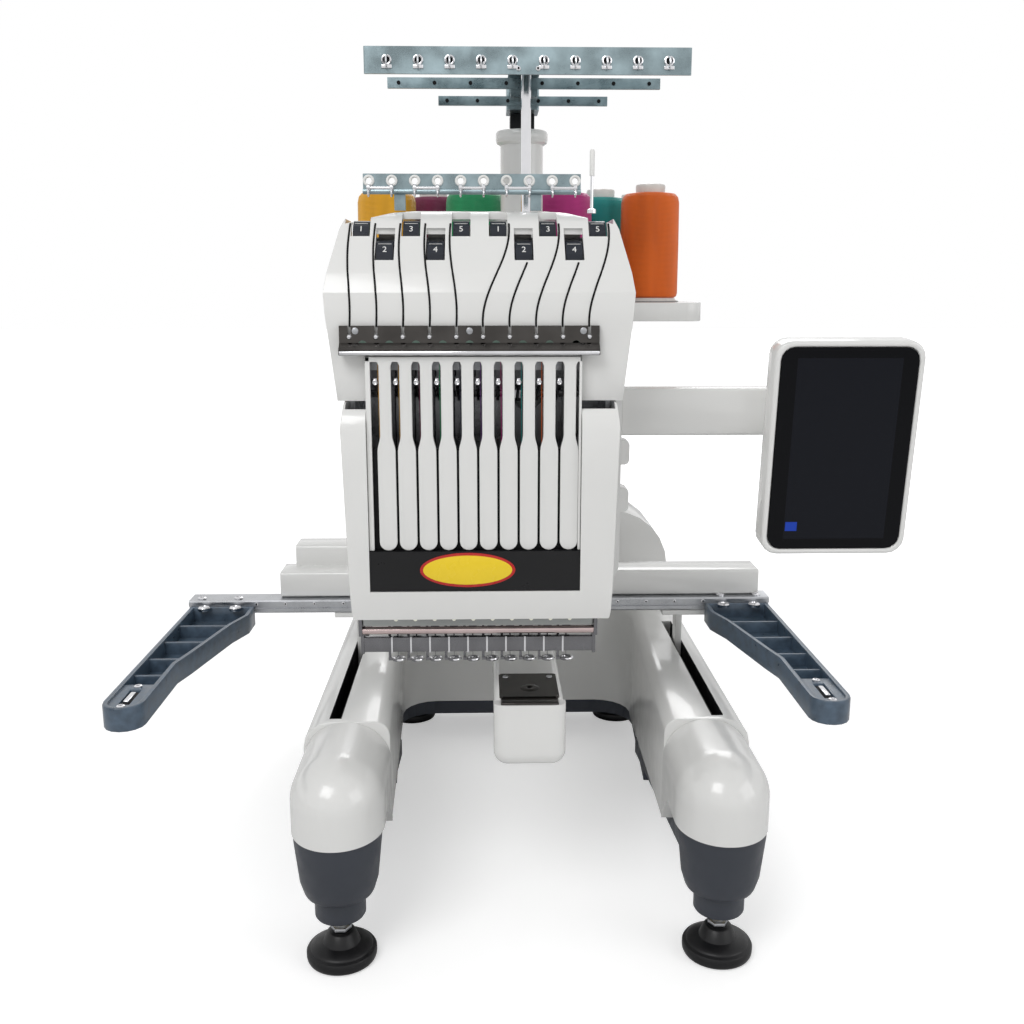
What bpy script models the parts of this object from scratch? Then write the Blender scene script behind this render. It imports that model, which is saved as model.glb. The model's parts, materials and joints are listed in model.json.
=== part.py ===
"""Single-head embroidery machine with ten needles, as an assembly of separate pieces.

Metres, +Z up, the front of the machine towards -Y. The design frame has X = 0 on the machine's centre
plane, Y = 0 on the needle line and Z = 0 on the floor. The last line moves all of it, so that the origin
ends at the centre of the footprint.
"""

import math

import bmesh
import bpy
from mathutils import Matrix, Vector

# ---------------------------------------------------------------- driving dimensions
GAP = 0.0003                 # between pieces that touch

NEEDLES = 10
ACTIVE = 7                   # the needle over the plate, counted from 0 at the left
NEEDLE_PITCH = 0.016
NEEDLE_TIP = 0.249
NEEDLE_BAR_RADIUS = 0.003
NEEDLE_BAR_TOP = 0.552

PLATE_TOP = 0.220
PLATE_WIDTH = 0.051
PLATE_FRONT, PLATE_BACK = -0.022, 0.035
PLATE_THICKNESS = 0.002

BED_WIDTH = 0.060
BED_DEPTH = 0.058            # height of the cylinder arm
BED_FRONT = -0.020
HOOK_RADIUS = 0.0195
HOOK_SHAFT_RADIUS = 0.006
COVER_DEPTH = 0.013

LEG_CENTRE = 0.161
LEG_WIDTH = 0.078
LEG_TOP = 0.182
LEG_FRONT = -0.092
LEG_SEAM = 0.018             # where the front cover of a leg meets the base shell
SLOT_CENTRE = 0.172
SLOT_WIDTH = 0.010
SLOT_FRONT, SLOT_BACK = 0.027, 0.304
SLOT_FLOOR = 0.152

BASE_REAR_WALL = 0.392       # inner wall between the legs
BASE_BACK = 0.512
SKIRT_TOP = 0.050
SKIRT_BOTTOM = 0.034

FOOT_RADIUS = 0.030
FRONT_FOOT_Y = -0.054
REAR_FOOT = (0.135, 0.468)
THREAD_RADIUS = 0.005
SLEEVE_BOTTOM = 0.041
SLEEVE_TOP = 0.1175
SOCKET_BOTTOM = 0.020
UNDERSIDE_FRONT, UNDERSIDE_BACK = (-0.100, 0.100), (0.330, SKIRT_TOP)   # the legs' sloping lower edge

BODY_HALF_WIDTH = 0.084
ARM_FRONT = 0.060
ARM_BOTTOM = 0.300
ARM_TOP = 0.600
ARM_STEP = 0.232             # behind this the body is low, under the spool tray
BODY_WALL = 0.004
TRAY_BOTTOM, TRAY_TOP = 0.526, 0.545

COLUMN_FRONT = 0.394

SHAFT_Z = 0.470
SHAFT_RADIUS = 0.008
MOTOR_Z = 0.238
MOTOR_RADIUS = 0.034
BELT_Y = 0.412
PULLEY_RADIUS = 0.022
BELT_WIDTH = 0.012
BELT_THICKNESS = 0.0024

BEAM_LENGTH = 0.503
BEAM_FRONT = 0.207
BEAM_DEPTH = 0.040
BEAM_BOTTOM, BEAM_TOP = 0.242, 0.269
BAR_LENGTH = 0.606
BAR_CENTRE = -0.042          # the carriage stands left of centre
BAR_FRONT, BAR_DEPTH = 0.197, 0.027
BAR_BOTTOM = 0.228
HOOP_ARM_REACH = 0.275       # from the bar's face to the tip
HOOP_ARM_WIDTH = 0.033
HOOP_ARM_ROOT = 0.066
HOOP_ARM_BOTTOM, HOOP_ARM_TOP = 0.216, 0.236

CASE_CENTRE = (NEEDLES - 1) / 2 * NEEDLE_PITCH - ACTIVE * NEEDLE_PITCH
CASE_BACK = 0.056
CASE_BOTTOM = 0.290
COVER_SPLIT = 0.472          # top of the front cover, bottom of the upper cover
COVER_FRONT = -0.046
COVER_HALF_WIDTH = 0.1095
SKIN = 0.003
SLOT_OFFSET = -0.010         # a take-up slot lies left of its needle
TAKE_UP_SLOT_WIDTH = 0.0065
FINGER_GAP = 0.0024
FINGER_BOTTOM, FINGER_SHOULDER, FINGER_SLOT_TOP = 0.354, 0.441, 0.505

LEVER_PIVOT = (0.012, 0.474)
LEVER_LENGTH = 0.050
LEVER_REST = math.radians(16)

DIAL_RADIUS = 0.017
DIAL_WIDTH = 0.013
DIAL_AXLE_RADIUS = 0.004
DIAL_FIRST, DIAL_STEP = 0.0148, 0.0199
DIAL_HIGH = (0.0205, 0.5955)   # Y and Z of the axis of the upper row
DIAL_LOW = (0.0030, 0.5790)

TOWER_Y, TOWER_RADIUS, TOWER_TOP = 0.200, 0.0205, 0.705
POST_Y, POST_RADIUS = 0.092, 0.0042
GUIDE_TOP = 0.750
GUIDE_WIDTH = 0.266

TRAY_HALF_WIDTH = 0.189
TRAY_FRONT, TRAY_BACK = 0.235, 0.443
CONE_RADIUS, CONE_HEIGHT, CONE_BORE = 0.031, 0.118, 0.0055
CONE_ROWS = ((0.285, (-0.138, -0.046, 0.046, 0.138)),
             (0.345, (-0.092, 0.0, 0.092)),
             (0.405, (-0.138, 0.0, 0.138)))
MAT_THICKNESS = 0.003
PIN_RADIUS, PIN_HEIGHT = 0.0032, 0.112

SCREEN_CENTRE = (0.2625, 0.017, 0.427)
SCREEN_SIZE = (0.124, 0.024, 0.184)
SCREEN_LEAN = math.radians(6)
SCREEN_HINGE = (0.2625, 0.049, 0.452)
SCREEN_ARM_BOTTOM, SCREEN_ARM_TOP = 0.431, 0.473
SCREEN_ARM_FRONT, SCREEN_ARM_BACK = 0.064, 0.090

scene = bpy.context.scene
for old in list(bpy.data.objects):
    bpy.data.objects.remove(old, do_unlink=True)


# ---------------------------------------------------------------- materials and assembly
def finish(name, colour, roughness, metallic=0.0):
    """A Principled material with one colour."""
    made = bpy.data.materials.new(name)
    made.use_nodes = True
    shader = made.node_tree.nodes["Principled BSDF"]
    shader.inputs["Base Color"].default_value = (*colour, 1)
    shader.inputs["Roughness"].default_value = roughness
    shader.inputs["Metallic"].default_value = metallic
    return made


WHITE = finish("white_plastic", (0.84, 0.84, 0.82), 0.25)
GREY = finish("grey_plastic", (0.045, 0.052, 0.065), 0.45)
BLACK = finish("black_rubber", (0.012, 0.012, 0.013), 0.6)
CHROME = finish("chrome", (0.75, 0.75, 0.76), 0.12, 1)
STEEL = finish("zinc_steel", (0.33, 0.40, 0.43), 0.35, 1)
CASTING = finish("painted_casting", (0.05, 0.08, 0.12), 0.45)
GLASS = finish("screen_glass", (0.006, 0.008, 0.012), 0.08)
THREAD = finish("thread", (0.85, 0.30, 0.03), 0.5)

root = bpy.data.objects.new("machine", None)
scene.collection.objects.link(root)


def pivot(name, place, parent=root):
    """An empty on a joint's axis, which the moving pieces hang from."""
    empty = bpy.data.objects.new(name, None)
    scene.collection.objects.link(empty)
    empty.parent = parent
    above = Vector() if parent is root else parent["place"]
    empty.location = Vector(place) - Vector(above)
    empty["place"] = tuple(place)
    return empty


def hang(piece, parent):
    """Parents a piece whose mesh is in the design frame, without moving it."""
    piece.parent = parent
    if parent is not root:
        piece.matrix_parent_inverse = Matrix.Translation(-Vector(parent["place"]))


def shape(bm):
    """A new object from a bmesh, with its faces turned outwards."""
    bmesh.ops.recalc_face_normals(bm, faces=bm.faces)
    mesh = bpy.data.meshes.new("shape")
    bm.to_mesh(mesh)
    bm.free()
    made = bpy.data.objects.new("shape", mesh)
    scene.collection.objects.link(made)
    return made


def gather(shapes):
    """Shapes that don't touch, as one object, to join or cut in one go."""
    bm = bmesh.new()
    for one in shapes:
        bm.from_mesh(one.data)
        bpy.data.objects.remove(one, do_unlink=True)
    return shape(bm)


def combine(piece, other, operation):
    step = piece.modifiers.new(operation.lower(), "BOOLEAN")
    step.operation = operation
    step.solver = "EXACT"
    step.object = other
    other.hide_render = True
    other.display_type = "WIRE"
    hang(other, root)


def make(name, material, body, add=(), cut=(), keep=(), parent=root):
    """The named piece: body, joined with add, less cut, within keep."""
    body.name = name
    body.data.name = name
    body.data.materials.append(material)
    for operation, others in (("UNION", add), ("INTERSECT", keep), ("DIFFERENCE", cut)):
        for other in others:
            combine(body, other, operation)
    hang(body, parent)
    for polygon in body.data.polygons:
        polygon.use_smooth = True
    body.data.set_sharp_from_angle(angle=math.radians(35))
    return body


# ---------------------------------------------------------------- basic shapes
AXES = {"X": 0, "Y": 1, "Z": 2}


def block(low, high, radius=0.0, along="Z", segments=2):
    """A box between two corners, its edges along one axis (or all of them) rounded."""
    low, high = Vector(low), Vector(high)
    bm = bmesh.new()
    bmesh.ops.create_cube(bm, size=1)
    bmesh.ops.scale(bm, vec=high - low, verts=bm.verts)
    bmesh.ops.translate(bm, vec=(high + low) / 2, verts=bm.verts)
    if radius:
        chosen = bm.edges[:]
        if along != "ALL":
            axis = AXES[along]
            chosen = [e for e in bm.edges if abs((e.verts[0].co - e.verts[1].co)[axis]) > 1e-6]
        bmesh.ops.bevel(bm, geom=chosen, offset=radius, offset_type="OFFSET", segments=segments,
                        profile=0.5, affect="EDGES", clamp_overlap=True, material=-1)
    return shape(bm)


def turn_to(axis):
    """The rotation that takes +Z to a named axis."""
    return {"X": Matrix.Rotation(math.pi / 2, 4, "Y"),
            "Y": Matrix.Rotation(-math.pi / 2, 4, "X"),
            "Z": Matrix.Identity(4)}[axis]


def rod(centre, radius, length, axis="Z", segments=12, end_radius=None):
    """A cylinder or cone from centre along an axis."""
    bm = bmesh.new()
    bmesh.ops.create_cone(bm, cap_ends=True, segments=segments, radius1=radius,
                          radius2=radius if end_radius is None else end_radius, depth=length)
    bmesh.ops.translate(bm, vec=(0, 0, length / 2), verts=bm.verts)
    bmesh.ops.transform(bm, matrix=Matrix.Translation(Vector(centre)) @ turn_to(axis), verts=bm.verts)
    return shape(bm)


def turned(profile, centre, axis="Z", segments=20):
    """A profile of (radius, height) points turned about an axis."""
    bm = bmesh.new()
    points = [bm.verts.new((radius, 0, height)) for radius, height in profile]
    closed = profile[0][0] > 0 or profile[-1][0] > 0
    edges = [bm.edges.new(pair) for pair in zip(points, points[1:])]
    if closed:
        edges.append(bm.edges.new((points[-1], points[0])))
    bmesh.ops.spin(bm, geom=points + edges, cent=(0, 0, 0), axis=(0, 0, 1), angle=math.tau,
                   steps=segments, use_merge=True)
    bmesh.ops.remove_doubles(bm, verts=bm.verts, dist=1e-6)
    bmesh.ops.transform(bm, matrix=Matrix.Translation(Vector(centre)) @ turn_to(axis), verts=bm.verts)
    return shape(bm)


def prism(outline, axis, low, high):
    """An outline in the plane across an axis, extruded along it. Across X it is (Y, Z), across Y (X, Z)."""
    def point(a, b, c):
        return {"X": (c, a, b), "Y": (a, c, b), "Z": (a, b, c)}[axis]

    bm = bmesh.new()
    face = bm.faces.new([bm.verts.new(point(a, b, low)) for a, b in outline])
    grown = bmesh.ops.extrude_face_region(bm, geom=[face])
    moved = [v for v in grown["geom"] if isinstance(v, bmesh.types.BMVert)]
    bmesh.ops.translate(bm, vec=Vector(point(0, 0, high - low)), verts=moved)
    return shape(bm)


def arc(centre, radius, start, end, steps):
    """Points of an arc, angles in degrees."""
    angles = (math.radians(start + (end - start) * i / steps) for i in range(steps + 1))
    return [(centre[0] + radius * math.cos(a), centre[1] + radius * math.sin(a)) for a in angles]


def mirrored(outline):
    """The outline on the other side of the first coordinate's zero."""
    return [(-a, b) for a, b in reversed(outline)]


def needle_x(index):
    return CASE_CENTRE + (index - (NEEDLES - 1) / 2) * NEEDLE_PITCH


# ---------------------------------------------------------------- base and feet
def sleeve(side):
    """The tapered dark sleeve under the front end of a leg."""
    bottom = SLEEVE_BOTTOM
    return turned([(0, bottom), (0.018, bottom), (0.020, bottom + 0.003), (0.021, bottom + 0.018),
                   (0.028, bottom + 0.022), (0.032, bottom + 0.032), (0.036, SLEEVE_TOP), (0, SLEEVE_TOP)],
                  (side * LEG_CENTRE, FRONT_FOOT_Y, 0), segments=24)


def inner_half_width(y):
    """Half the gap between the legs, which widens a little to the rear."""
    return 0.122 + 0.016 * max(0, y) / BASE_REAR_WALL


def base_plan(front, inset=0.0, notch=0.0):
    """The U-shaped outline of the base, seen from above."""
    outer = LEG_CENTRE + LEG_WIDTH / 2 - inset
    corner, fillet = 0.055, 0.040
    back = BASE_BACK - inset
    wall = BASE_REAR_WALL + notch
    inner = inner_half_width(wall) + inset
    right = [(inner_half_width(front) + inset, front), (outer, front)]
    right += arc((outer - corner, back - corner), corner, 0, 90, 5)
    left = mirrored(right)
    return (right + left
            + arc((-inner + fillet, wall - fillet), fillet, 180, 90, 5)
            + arc((inner - fillet, wall - fillet), fillet, 90, 0, 5))


def underside(y):
    """Height of the white legs' lower edge at a distance y."""
    (y0, z0), (y1, z1) = UNDERSIDE_FRONT, UNDERSIDE_BACK
    return z0 + (z1 - z0) * (y - y0) / (y1 - y0)


def base_tray():
    skirt = prism(base_plan(0.200, 0.004), "Z", SKIRT_BOTTOM, SKIRT_TOP)
    front, back, depth = FRONT_FOOT_Y, 0.260, 0.012
    sides = [prism([(front, underside(front) - GAP), (back, underside(back) - GAP),
                    (back, underside(back) - depth - 0.006), (front, underside(front) - depth)],
                   "X", side * LEG_CENTRE - 0.028, side * LEG_CENTRE + 0.028) for side in (-1, 1)]
    sockets = [rod((side * REAR_FOOT[0], REAR_FOOT[1], SOCKET_BOTTOM), 0.014, 0.02) for side in (-1, 1)]
    sleeves = [sleeve(side) for side in (-1, 1)]
    bores = gather([rod((x, y, seat - 0.01), THREAD_RADIUS + GAP, 0.026, segments=12)
                    for x, y, seat in foot_places()])
    return make("base_tray", GREY, skirt, [gather(sides), gather(sockets), gather(sleeves)], [bores])


def foot_places():
    """X, Y and the height of the seat above each levelling foot."""
    return [(side * x, y, seat) for x, y, seat in
            ((LEG_CENTRE, FRONT_FOOT_Y, SLEEVE_BOTTOM), (*REAR_FOOT, SOCKET_BOTTOM)) for side in (-1, 1)]


def foot(name, x, y, seat):
    """A rubber pad with its nut and threaded stem. The seat is the underside that the nut nearly touches."""
    pad = [(0, 0), (FOOT_RADIUS - 0.001, 0), (FOOT_RADIUS, 0.002), (FOOT_RADIUS, 0.009)]
    nut = seat - GAP
    if nut > 0.03:
        thread = THREAD_RADIUS - GAP
        profile = pad + [(0.027, 0.014), (0.014, 0.024), (0.008, 0.027), (0.008, nut - 0.008),
                         (0.009, nut - 0.007), (0.009, nut), (thread, nut), (thread, seat + 0.014),
                         (0, seat + 0.014)]
    else:
        profile = pad + [(0.020, 0.014), (0.009, 0.0155), (0.009, nut), (THREAD_RADIUS, nut),
                         (THREAD_RADIUS, seat + 0.008), (0, seat + 0.008)]
    axis = pivot(name + "_axis", (x, y, 0))
    make(name, BLACK, turned(profile, (x, y, 0)), parent=axis)


def leg_slot(side):
    x = side * SLOT_CENTRE
    return block((x - SLOT_WIDTH / 2, SLOT_FRONT, SLOT_FLOOR), (x + SLOT_WIDTH / 2, SLOT_BACK, 0.3))


def base_shell():
    body = prism(base_plan(LEG_SEAM + GAP), "Z", SKIRT_TOP + GAP, LEG_TOP)
    outer = LEG_CENTRE + LEG_WIDTH / 2
    section = [(-outer - 0.01, 0), (outer + 0.01, 0)]
    shoulder = 0.024
    section += [(outer + 0.01, LEG_TOP - shoulder)] + arc((outer - shoulder, LEG_TOP - shoulder),
                                                         shoulder, 0, 90, 4)
    section += list(reversed([(-a, b) for a, b in section[3:]])) + [(-outer - 0.01, LEG_TOP - shoulder)]
    rounded = prism(section, "Y", -0.2, 0.6)
    under = prism([UNDERSIDE_FRONT, (UNDERSIDE_FRONT[0], 0), (UNDERSIDE_BACK[0], 0), UNDERSIDE_BACK],
                  "X", -0.3, 0.3)
    well = block((-0.100, 0.440, 0.02), (0.100, 0.490, LEG_TOP - 0.012), 0.01)
    return make("base_shell", WHITE, body, cut=[leg_slot(-1), leg_slot(1), under, well], keep=[rounded])


def leg_cover(name, side):
    """The white front end of a leg, domed over the foot."""
    x, half, top = side * LEG_CENTRE, LEG_WIDTH / 2, LEG_TOP
    plan = ([(half, LEG_SEAM - GAP)] + [(half, LEG_FRONT + 0.034)]
            + arc((0, LEG_FRONT + half), half, 0, -180, 10)[1:-1]
            + [(-half, LEG_FRONT + 0.034), (-half, LEG_SEAM - GAP)])
    body = prism([(x + a, b) for a, b in plan], "Z", 0.050, top)
    crown = 0.030
    section = ([(x - half - 0.01, 0.0), (x + half + 0.01, 0.0), (x + half + 0.01, top - crown)]
               + arc((x + half - crown, top - crown), crown, 0, 90, 5)
               + arc((x - half + crown, top - crown), crown, 90, 180, 5)
               + [(x - half - 0.01, top - crown)])
    lower = SLEEVE_TOP + GAP
    side_view = ([(LEG_SEAM, underside(LEG_SEAM)), (LEG_SEAM, 0.3), (LEG_FRONT + 0.050, 0.3)]
                 + [(LEG_FRONT + 0.050, top)]
                 + arc((LEG_FRONT + 0.050, top - 0.050), 0.050, 90, 180, 6)[1:]
                 + [(LEG_FRONT, lower), (FRONT_FOOT_Y + 0.045, lower)])
    make(name, WHITE, body,
         keep=[prism(section, "Y", -0.2, 0.1), prism(side_view, "X", x - 0.1, x + 0.1)])


base_tray()
base_shell()
leg_cover("leg_cover_left", -1)
leg_cover("leg_cover_right", 1)
for foot_name, foot_place in zip(("foot_front_left", "foot_front_right", "foot_rear_left",
                                  "foot_rear_right"), foot_places()):
    foot(foot_name, *foot_place)


# ---------------------------------------------------------------- column, arm and drive
def column_shell():
    """The tall body: a humped foot on the base, a column and the arm that carries the needle case."""
    half, back = BODY_HALF_WIDTH, BASE_BACK - 0.008
    low = block((-half, COLUMN_FRONT, LEG_TOP + GAP), (half, back, TRAY_BOTTOM - GAP), 0.014)
    arm = block((-half, ARM_FRONT, ARM_BOTTOM), (half, ARM_STEP, ARM_TOP), 0.012, "Y")
    rear = block((-half, ARM_STEP - 0.02, ARM_BOTTOM), (half, back - 0.05, TRAY_BOTTOM - GAP), 0.012, "Y")
    foot_z = LEG_TOP + GAP
    hump = ([(-0.188, foot_z), (0.188, foot_z), (0.188, 0.222)]
            + arc((0.118, 0.222), 0.070, 0, 90, 6)[1:] + arc((-0.118, 0.222), 0.070, 90, 180, 6))
    hump = prism(hump, "Y", 0.404, BASE_BACK - 0.012)
    latch = [block((half - 0.004, 0.064, z), (half + 0.008, 0.084, z + 0.022), 0.004, "Y")
             for z in (0.362, 0.405)]
    wall = BODY_WALL
    inside = [block((-half + wall, ARM_FRONT + wall, ARM_BOTTOM + wall),
                    (half - wall, ARM_STEP - wall, ARM_TOP - wall)),
              block((-half + wall, ARM_STEP - 0.02, ARM_BOTTOM + wall),
                    (half - wall, back - wall, TRAY_BOTTOM - GAP - wall)),
              block((-half + wall, COLUMN_FRONT + wall, 0.100),
                    (half - wall, back - wall, ARM_BOTTOM + 0.02))]
    bearing = rod((0, ARM_FRONT - 0.01, SHAFT_Z), SHAFT_RADIUS + GAP, 0.05, "Y", 16)
    return make("column_shell", WHITE, low, [arm, rear, hump, gather(latch)], [*inside, bearing])


def pulley(z, front, back):
    return rod((0, front, z), PULLEY_RADIUS, back - front, "Y", 20)


def main_motor():
    body = rod((0, BELT_Y + 0.014, MOTOR_Z), MOTOR_RADIUS, 0.064, "Y", 20)
    stand = block((-0.030, BELT_Y + 0.018, LEG_TOP + GAP), (0.030, BELT_Y + 0.072, MOTOR_Z))
    spindle = rod((0, BELT_Y + 0.004, MOTOR_Z), 0.005, 0.02, "Y", 12)
    wheel = pulley(MOTOR_Z, BELT_Y - BELT_WIDTH / 2, BELT_Y + BELT_WIDTH / 2 + 0.001)
    return make("main_motor", GREY, body, [stand, spindle, wheel])


def main_shaft():
    axis = pivot("main_shaft_axis", (0, 0, SHAFT_Z))
    shaft = rod((0, ARM_FRONT - 0.002, SHAFT_Z), SHAFT_RADIUS, BELT_Y + 0.014 - ARM_FRONT, "Y", 16)
    wheel = pulley(SHAFT_Z, BELT_Y - BELT_WIDTH / 2, BELT_Y + BELT_WIDTH / 2)
    return make("main_shaft", STEEL, shaft, [wheel], parent=axis)


def drive_belt():
    """A toothed belt round the motor's pulley and the shaft's."""
    def loop(radius):
        return (arc((0, SHAFT_Z), radius, 0, 180, 10) + arc((0, MOTOR_Z), radius, 180, 360, 10))

    inner = PULLEY_RADIUS + GAP
    front, back = BELT_Y - BELT_WIDTH / 2 + 0.001, BELT_Y + BELT_WIDTH / 2 - 0.001
    outer = prism(loop(inner + BELT_THICKNESS), "Y", front, back)
    hole = prism(loop(inner), "Y", front - 0.01, back + 0.01)
    return make("drive_belt", BLACK, outer, cut=[hole])


# ---------------------------------------------------------------- cylinder arm and hook
HOOK_Z = PLATE_TOP - 0.034


def bed_arm():
    half, bottom = BED_WIDTH / 2, PLATE_TOP - BED_DEPTH
    top = PLATE_TOP - PLATE_THICKNESS - GAP
    body = block((-half, BED_FRONT, bottom), (half, BASE_REAR_WALL - GAP, top), 0.007, "Y", 3)
    wall = 0.003
    cave = block((-half + wall, BED_FRONT - 0.01, bottom + wall), (half - wall, 0.060, top - wall))
    way = block((-0.007, -0.006, top - 0.01), (0.007, 0.008, PLATE_TOP))
    bore = rod((0, 0.050, HOOK_Z), HOOK_SHAFT_RADIUS + GAP, 0.072, "Y", 12)
    return make("bed_arm", WHITE, body, cut=[cave, way, bore])



def needle_plate():
    half = PLATE_WIDTH / 2
    plate = block((-half, PLATE_FRONT + 0.002, PLATE_TOP - PLATE_THICKNESS), (half, PLATE_BACK, PLATE_TOP),
                  0.003)
    hole = rod((0, 0, PLATE_TOP - 0.01), 0.0022, 0.02, segments=12)
    return make("needle_plate", CHROME, plate, cut=[hole])


def hook_cover():
    half, bottom = BED_WIDTH / 2 + 0.0005, PLATE_TOP - BED_DEPTH
    y = BED_FRONT - GAP
    axis = pivot("hook_cover_hinge", (0, y, bottom))
    body = block((-half, y - COVER_DEPTH, bottom + GAP), (half, y, PLATE_TOP - 0.003), 0.014, "Y", 3)
    view = prism([(y + 0.01, bottom - 0.01), (y - COVER_DEPTH + 0.006, bottom - 0.01),
                  (y - COVER_DEPTH, bottom + 0.006), (y - COVER_DEPTH, PLATE_TOP - 0.014),
                  (y - COVER_DEPTH + 0.008, PLATE_TOP - 0.003), (y + 0.01, PLATE_TOP - 0.003)],
                 "X", -0.1, 0.1)
    hollow = block((-half + 0.004, y - COVER_DEPTH + 0.004, bottom + 0.004),
                   (half - 0.004, y + 0.01, PLATE_TOP - 0.012))
    return make("hook_cover", WHITE, body, cut=[hollow], keep=[view], parent=axis)


def rotary_hook():
    axis = pivot("rotary_hook_axis", (0, 0, HOOK_Z))
    r = HOOK_RADIUS
    profile = [(0, 0.004), (0.007, 0.004), (0.007, 0), (r - 0.005, 0), (r, 0.003), (r, 0.009),
               (r - 0.006, 0.013), (HOOK_SHAFT_RADIUS, 0.013), (HOOK_SHAFT_RADIUS, 0.130), (0, 0.130)]
    return make("rotary_hook", STEEL, turned(profile, (0, BED_FRONT + 0.003, HOOK_Z), "Y", 24),
                parent=axis)


column_shell()
main_motor()
main_shaft()
drive_belt()
bed_arm()
needle_plate()
hook_cover()
rotary_hook()


# ---------------------------------------------------------------- hoop drive
BEAM_PIVOT = pivot("beam_slide", (0, BEAM_FRONT, BEAM_BOTTOM))
CARRIAGE_PIVOT = pivot("carriage_slide", (BAR_CENTRE, BAR_FRONT, BAR_BOTTOM), BEAM_PIVOT)


def y_beam():
    """The cross beam on its two posts, which run in the slots of the legs."""
    half, back = BEAM_LENGTH / 2, BEAM_FRONT + BEAM_DEPTH
    beam = block((-half, BEAM_FRONT, BEAM_BOTTOM), (half, back, BEAM_TOP), 0.003, "X")
    cover = block((-half + 0.012, BEAM_FRONT + 0.030, BEAM_TOP - 0.006), (-0.060, back + 0.026, 0.291),
                  0.004, "X")
    post_half = SLOT_WIDTH / 2 - 0.0015
    brackets = []
    for side in (-1, 1):
        x = side * SLOT_CENTRE
        front = BAR_FRONT + BAR_DEPTH + 0.003
        brackets.append(prism([(front, SLOT_FLOOR + GAP), (back - 0.002, SLOT_FLOOR + GAP),
                               (back - 0.002, BEAM_BOTTOM + 0.004), (front, BEAM_BOTTOM + 0.004)],
                              "X", x - post_half, x + post_half))
    plates = [block((side * SLOT_CENTRE - 0.023, BAR_FRONT + 0.002, BAR_BOTTOM - 0.006),
                    (side * SLOT_CENTRE + 0.023, back - 0.004, BAR_BOTTOM - GAP)) for side in (-1, 1)]
    return make("y_beam", WHITE, beam, [cover, gather(brackets), gather(plates)], parent=BEAM_PIVOT)


def x_carriage():
    """The bar that carries the hoop arms, sliding under the beam."""
    half = BAR_LENGTH / 2
    low, high = BAR_BOTTOM, BEAM_BOTTOM - GAP
    bar = block((BAR_CENTRE - half, BAR_FRONT, low), (BAR_CENTRE + half, BAR_FRONT + BAR_DEPTH, high),
                0.0015, "X", 1)
    groove = block((BAR_CENTRE - half - 0.01, BAR_FRONT - 0.01, low + 0.005),
                   (BAR_CENTRE + half + 0.01, BAR_FRONT + 0.002, high - 0.006))
    return make("x_carriage", STEEL, bar, cut=[groove], parent=CARRIAGE_PIVOT)


def hoop_arm(name, side):
    """A ribbed casting that reaches forward and holds one side of the hoop."""
    outer, inner = BAR_LENGTH / 2 - 0.002, BAR_LENGTH / 2 - 0.002 - HOOP_ARM_WIDTH
    back, tip = BAR_FRONT - GAP, BAR_FRONT - HOOP_ARM_REACH
    root, round_end = outer - HOOP_ARM_ROOT, HOOP_ARM_WIDTH / 2

    def plan(inset):
        """The arm's outline, drawn in by an inset."""
        end = (outer - round_end, tip + round_end)
        return ([(outer - inset, back - inset)]
                + list(reversed(arc(end, round_end - inset, 180, 360, 8)))
                + [(inner + inset, tip + 0.105), (inner - 0.006 + inset, tip + 0.130),
                   (root + 0.010 + inset, back - 0.060), (root + inset, back - 0.030),
                   (root + inset, back - inset)])

    def placed(outline):
        turned_over = outline if side > 0 else mirrored(outline)
        return [(BAR_CENTRE + a, b) for a, b in turned_over]

    low, high = HOOP_ARM_BOTTOM, HOOP_ARM_TOP
    body = prism(placed(plan(0)), "Z", low, high)
    pocket = prism(placed(plan(0.004)), "Z", low + 0.005, high + 0.01)
    along = back - tip
    ribs = []
    for share in (0.20, 0.38, 0.55, 0.70):
        y = back - share * along
        rib = [(outer - 0.002, y - 0.0015), (outer - 0.002, y + 0.0015), (root + 0.001, y + 0.0015),
               (root + 0.001, y - 0.0015)]
        ribs.append(prism(placed(rib), "Z", low + 0.002, high - 0.003))
    clip = [(outer - 0.001, tip + 0.002), (outer - 0.001, tip + 0.058), (inner + 0.001, tip + 0.058),
            (inner + 0.001, tip + 0.002)]
    end_pad = prism(placed(clip), "Z", low + 0.001, high - 0.002)
    within = prism(placed(plan(0.001)), "Z", low, high)
    body.modifiers.new("pocket", "BOOLEAN").object = pocket
    hide(pocket)
    inner_parts = gather(ribs)
    for part in (inner_parts, end_pad):
        keep_step = part.modifiers.new("within", "BOOLEAN")
        keep_step.operation = "INTERSECT"
        keep_step.object = within
    hide(within)
    slot = [(outer - 0.012, tip + 0.014), (outer - 0.012, tip + 0.046), (inner + 0.012, tip + 0.046),
            (inner + 0.012, tip + 0.014)]
    clip_slot = prism(placed(slot), "Z", high - 0.007, high + 0.01)
    return make(name, CASTING, body, [inner_parts, end_pad], [clip_slot], parent=CARRIAGE_PIVOT)


def hide(cutter):
    cutter.hide_render = True
    cutter.display_type = "WIRE"
    hang(cutter, root)


y_beam()
x_carriage()
hoop_arm("hoop_arm_left", -1)
hoop_arm("hoop_arm_right", 1)


# ---------------------------------------------------------------- needle case
CASE = pivot("case_slide", (CASE_CENTRE, CASE_BACK, SHAFT_Z))
GUIDE_LOW, GUIDE_HIGH = (0.298, 0.312), (0.495, 0.508)
FRAME_HALF = 0.1035
RUNNERS = (0.330, 0.556)
WINDOW_CENTRE, WINDOW_HALF = CASE_CENTRE + SLOT_OFFSET / 2, 0.0845
BAND_BOTTOM, BAND_TOP = 0.320, FINGER_BOTTOM - 0.001
COMB_TOP = FINGER_SLOT_TOP + 0.0025


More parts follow.
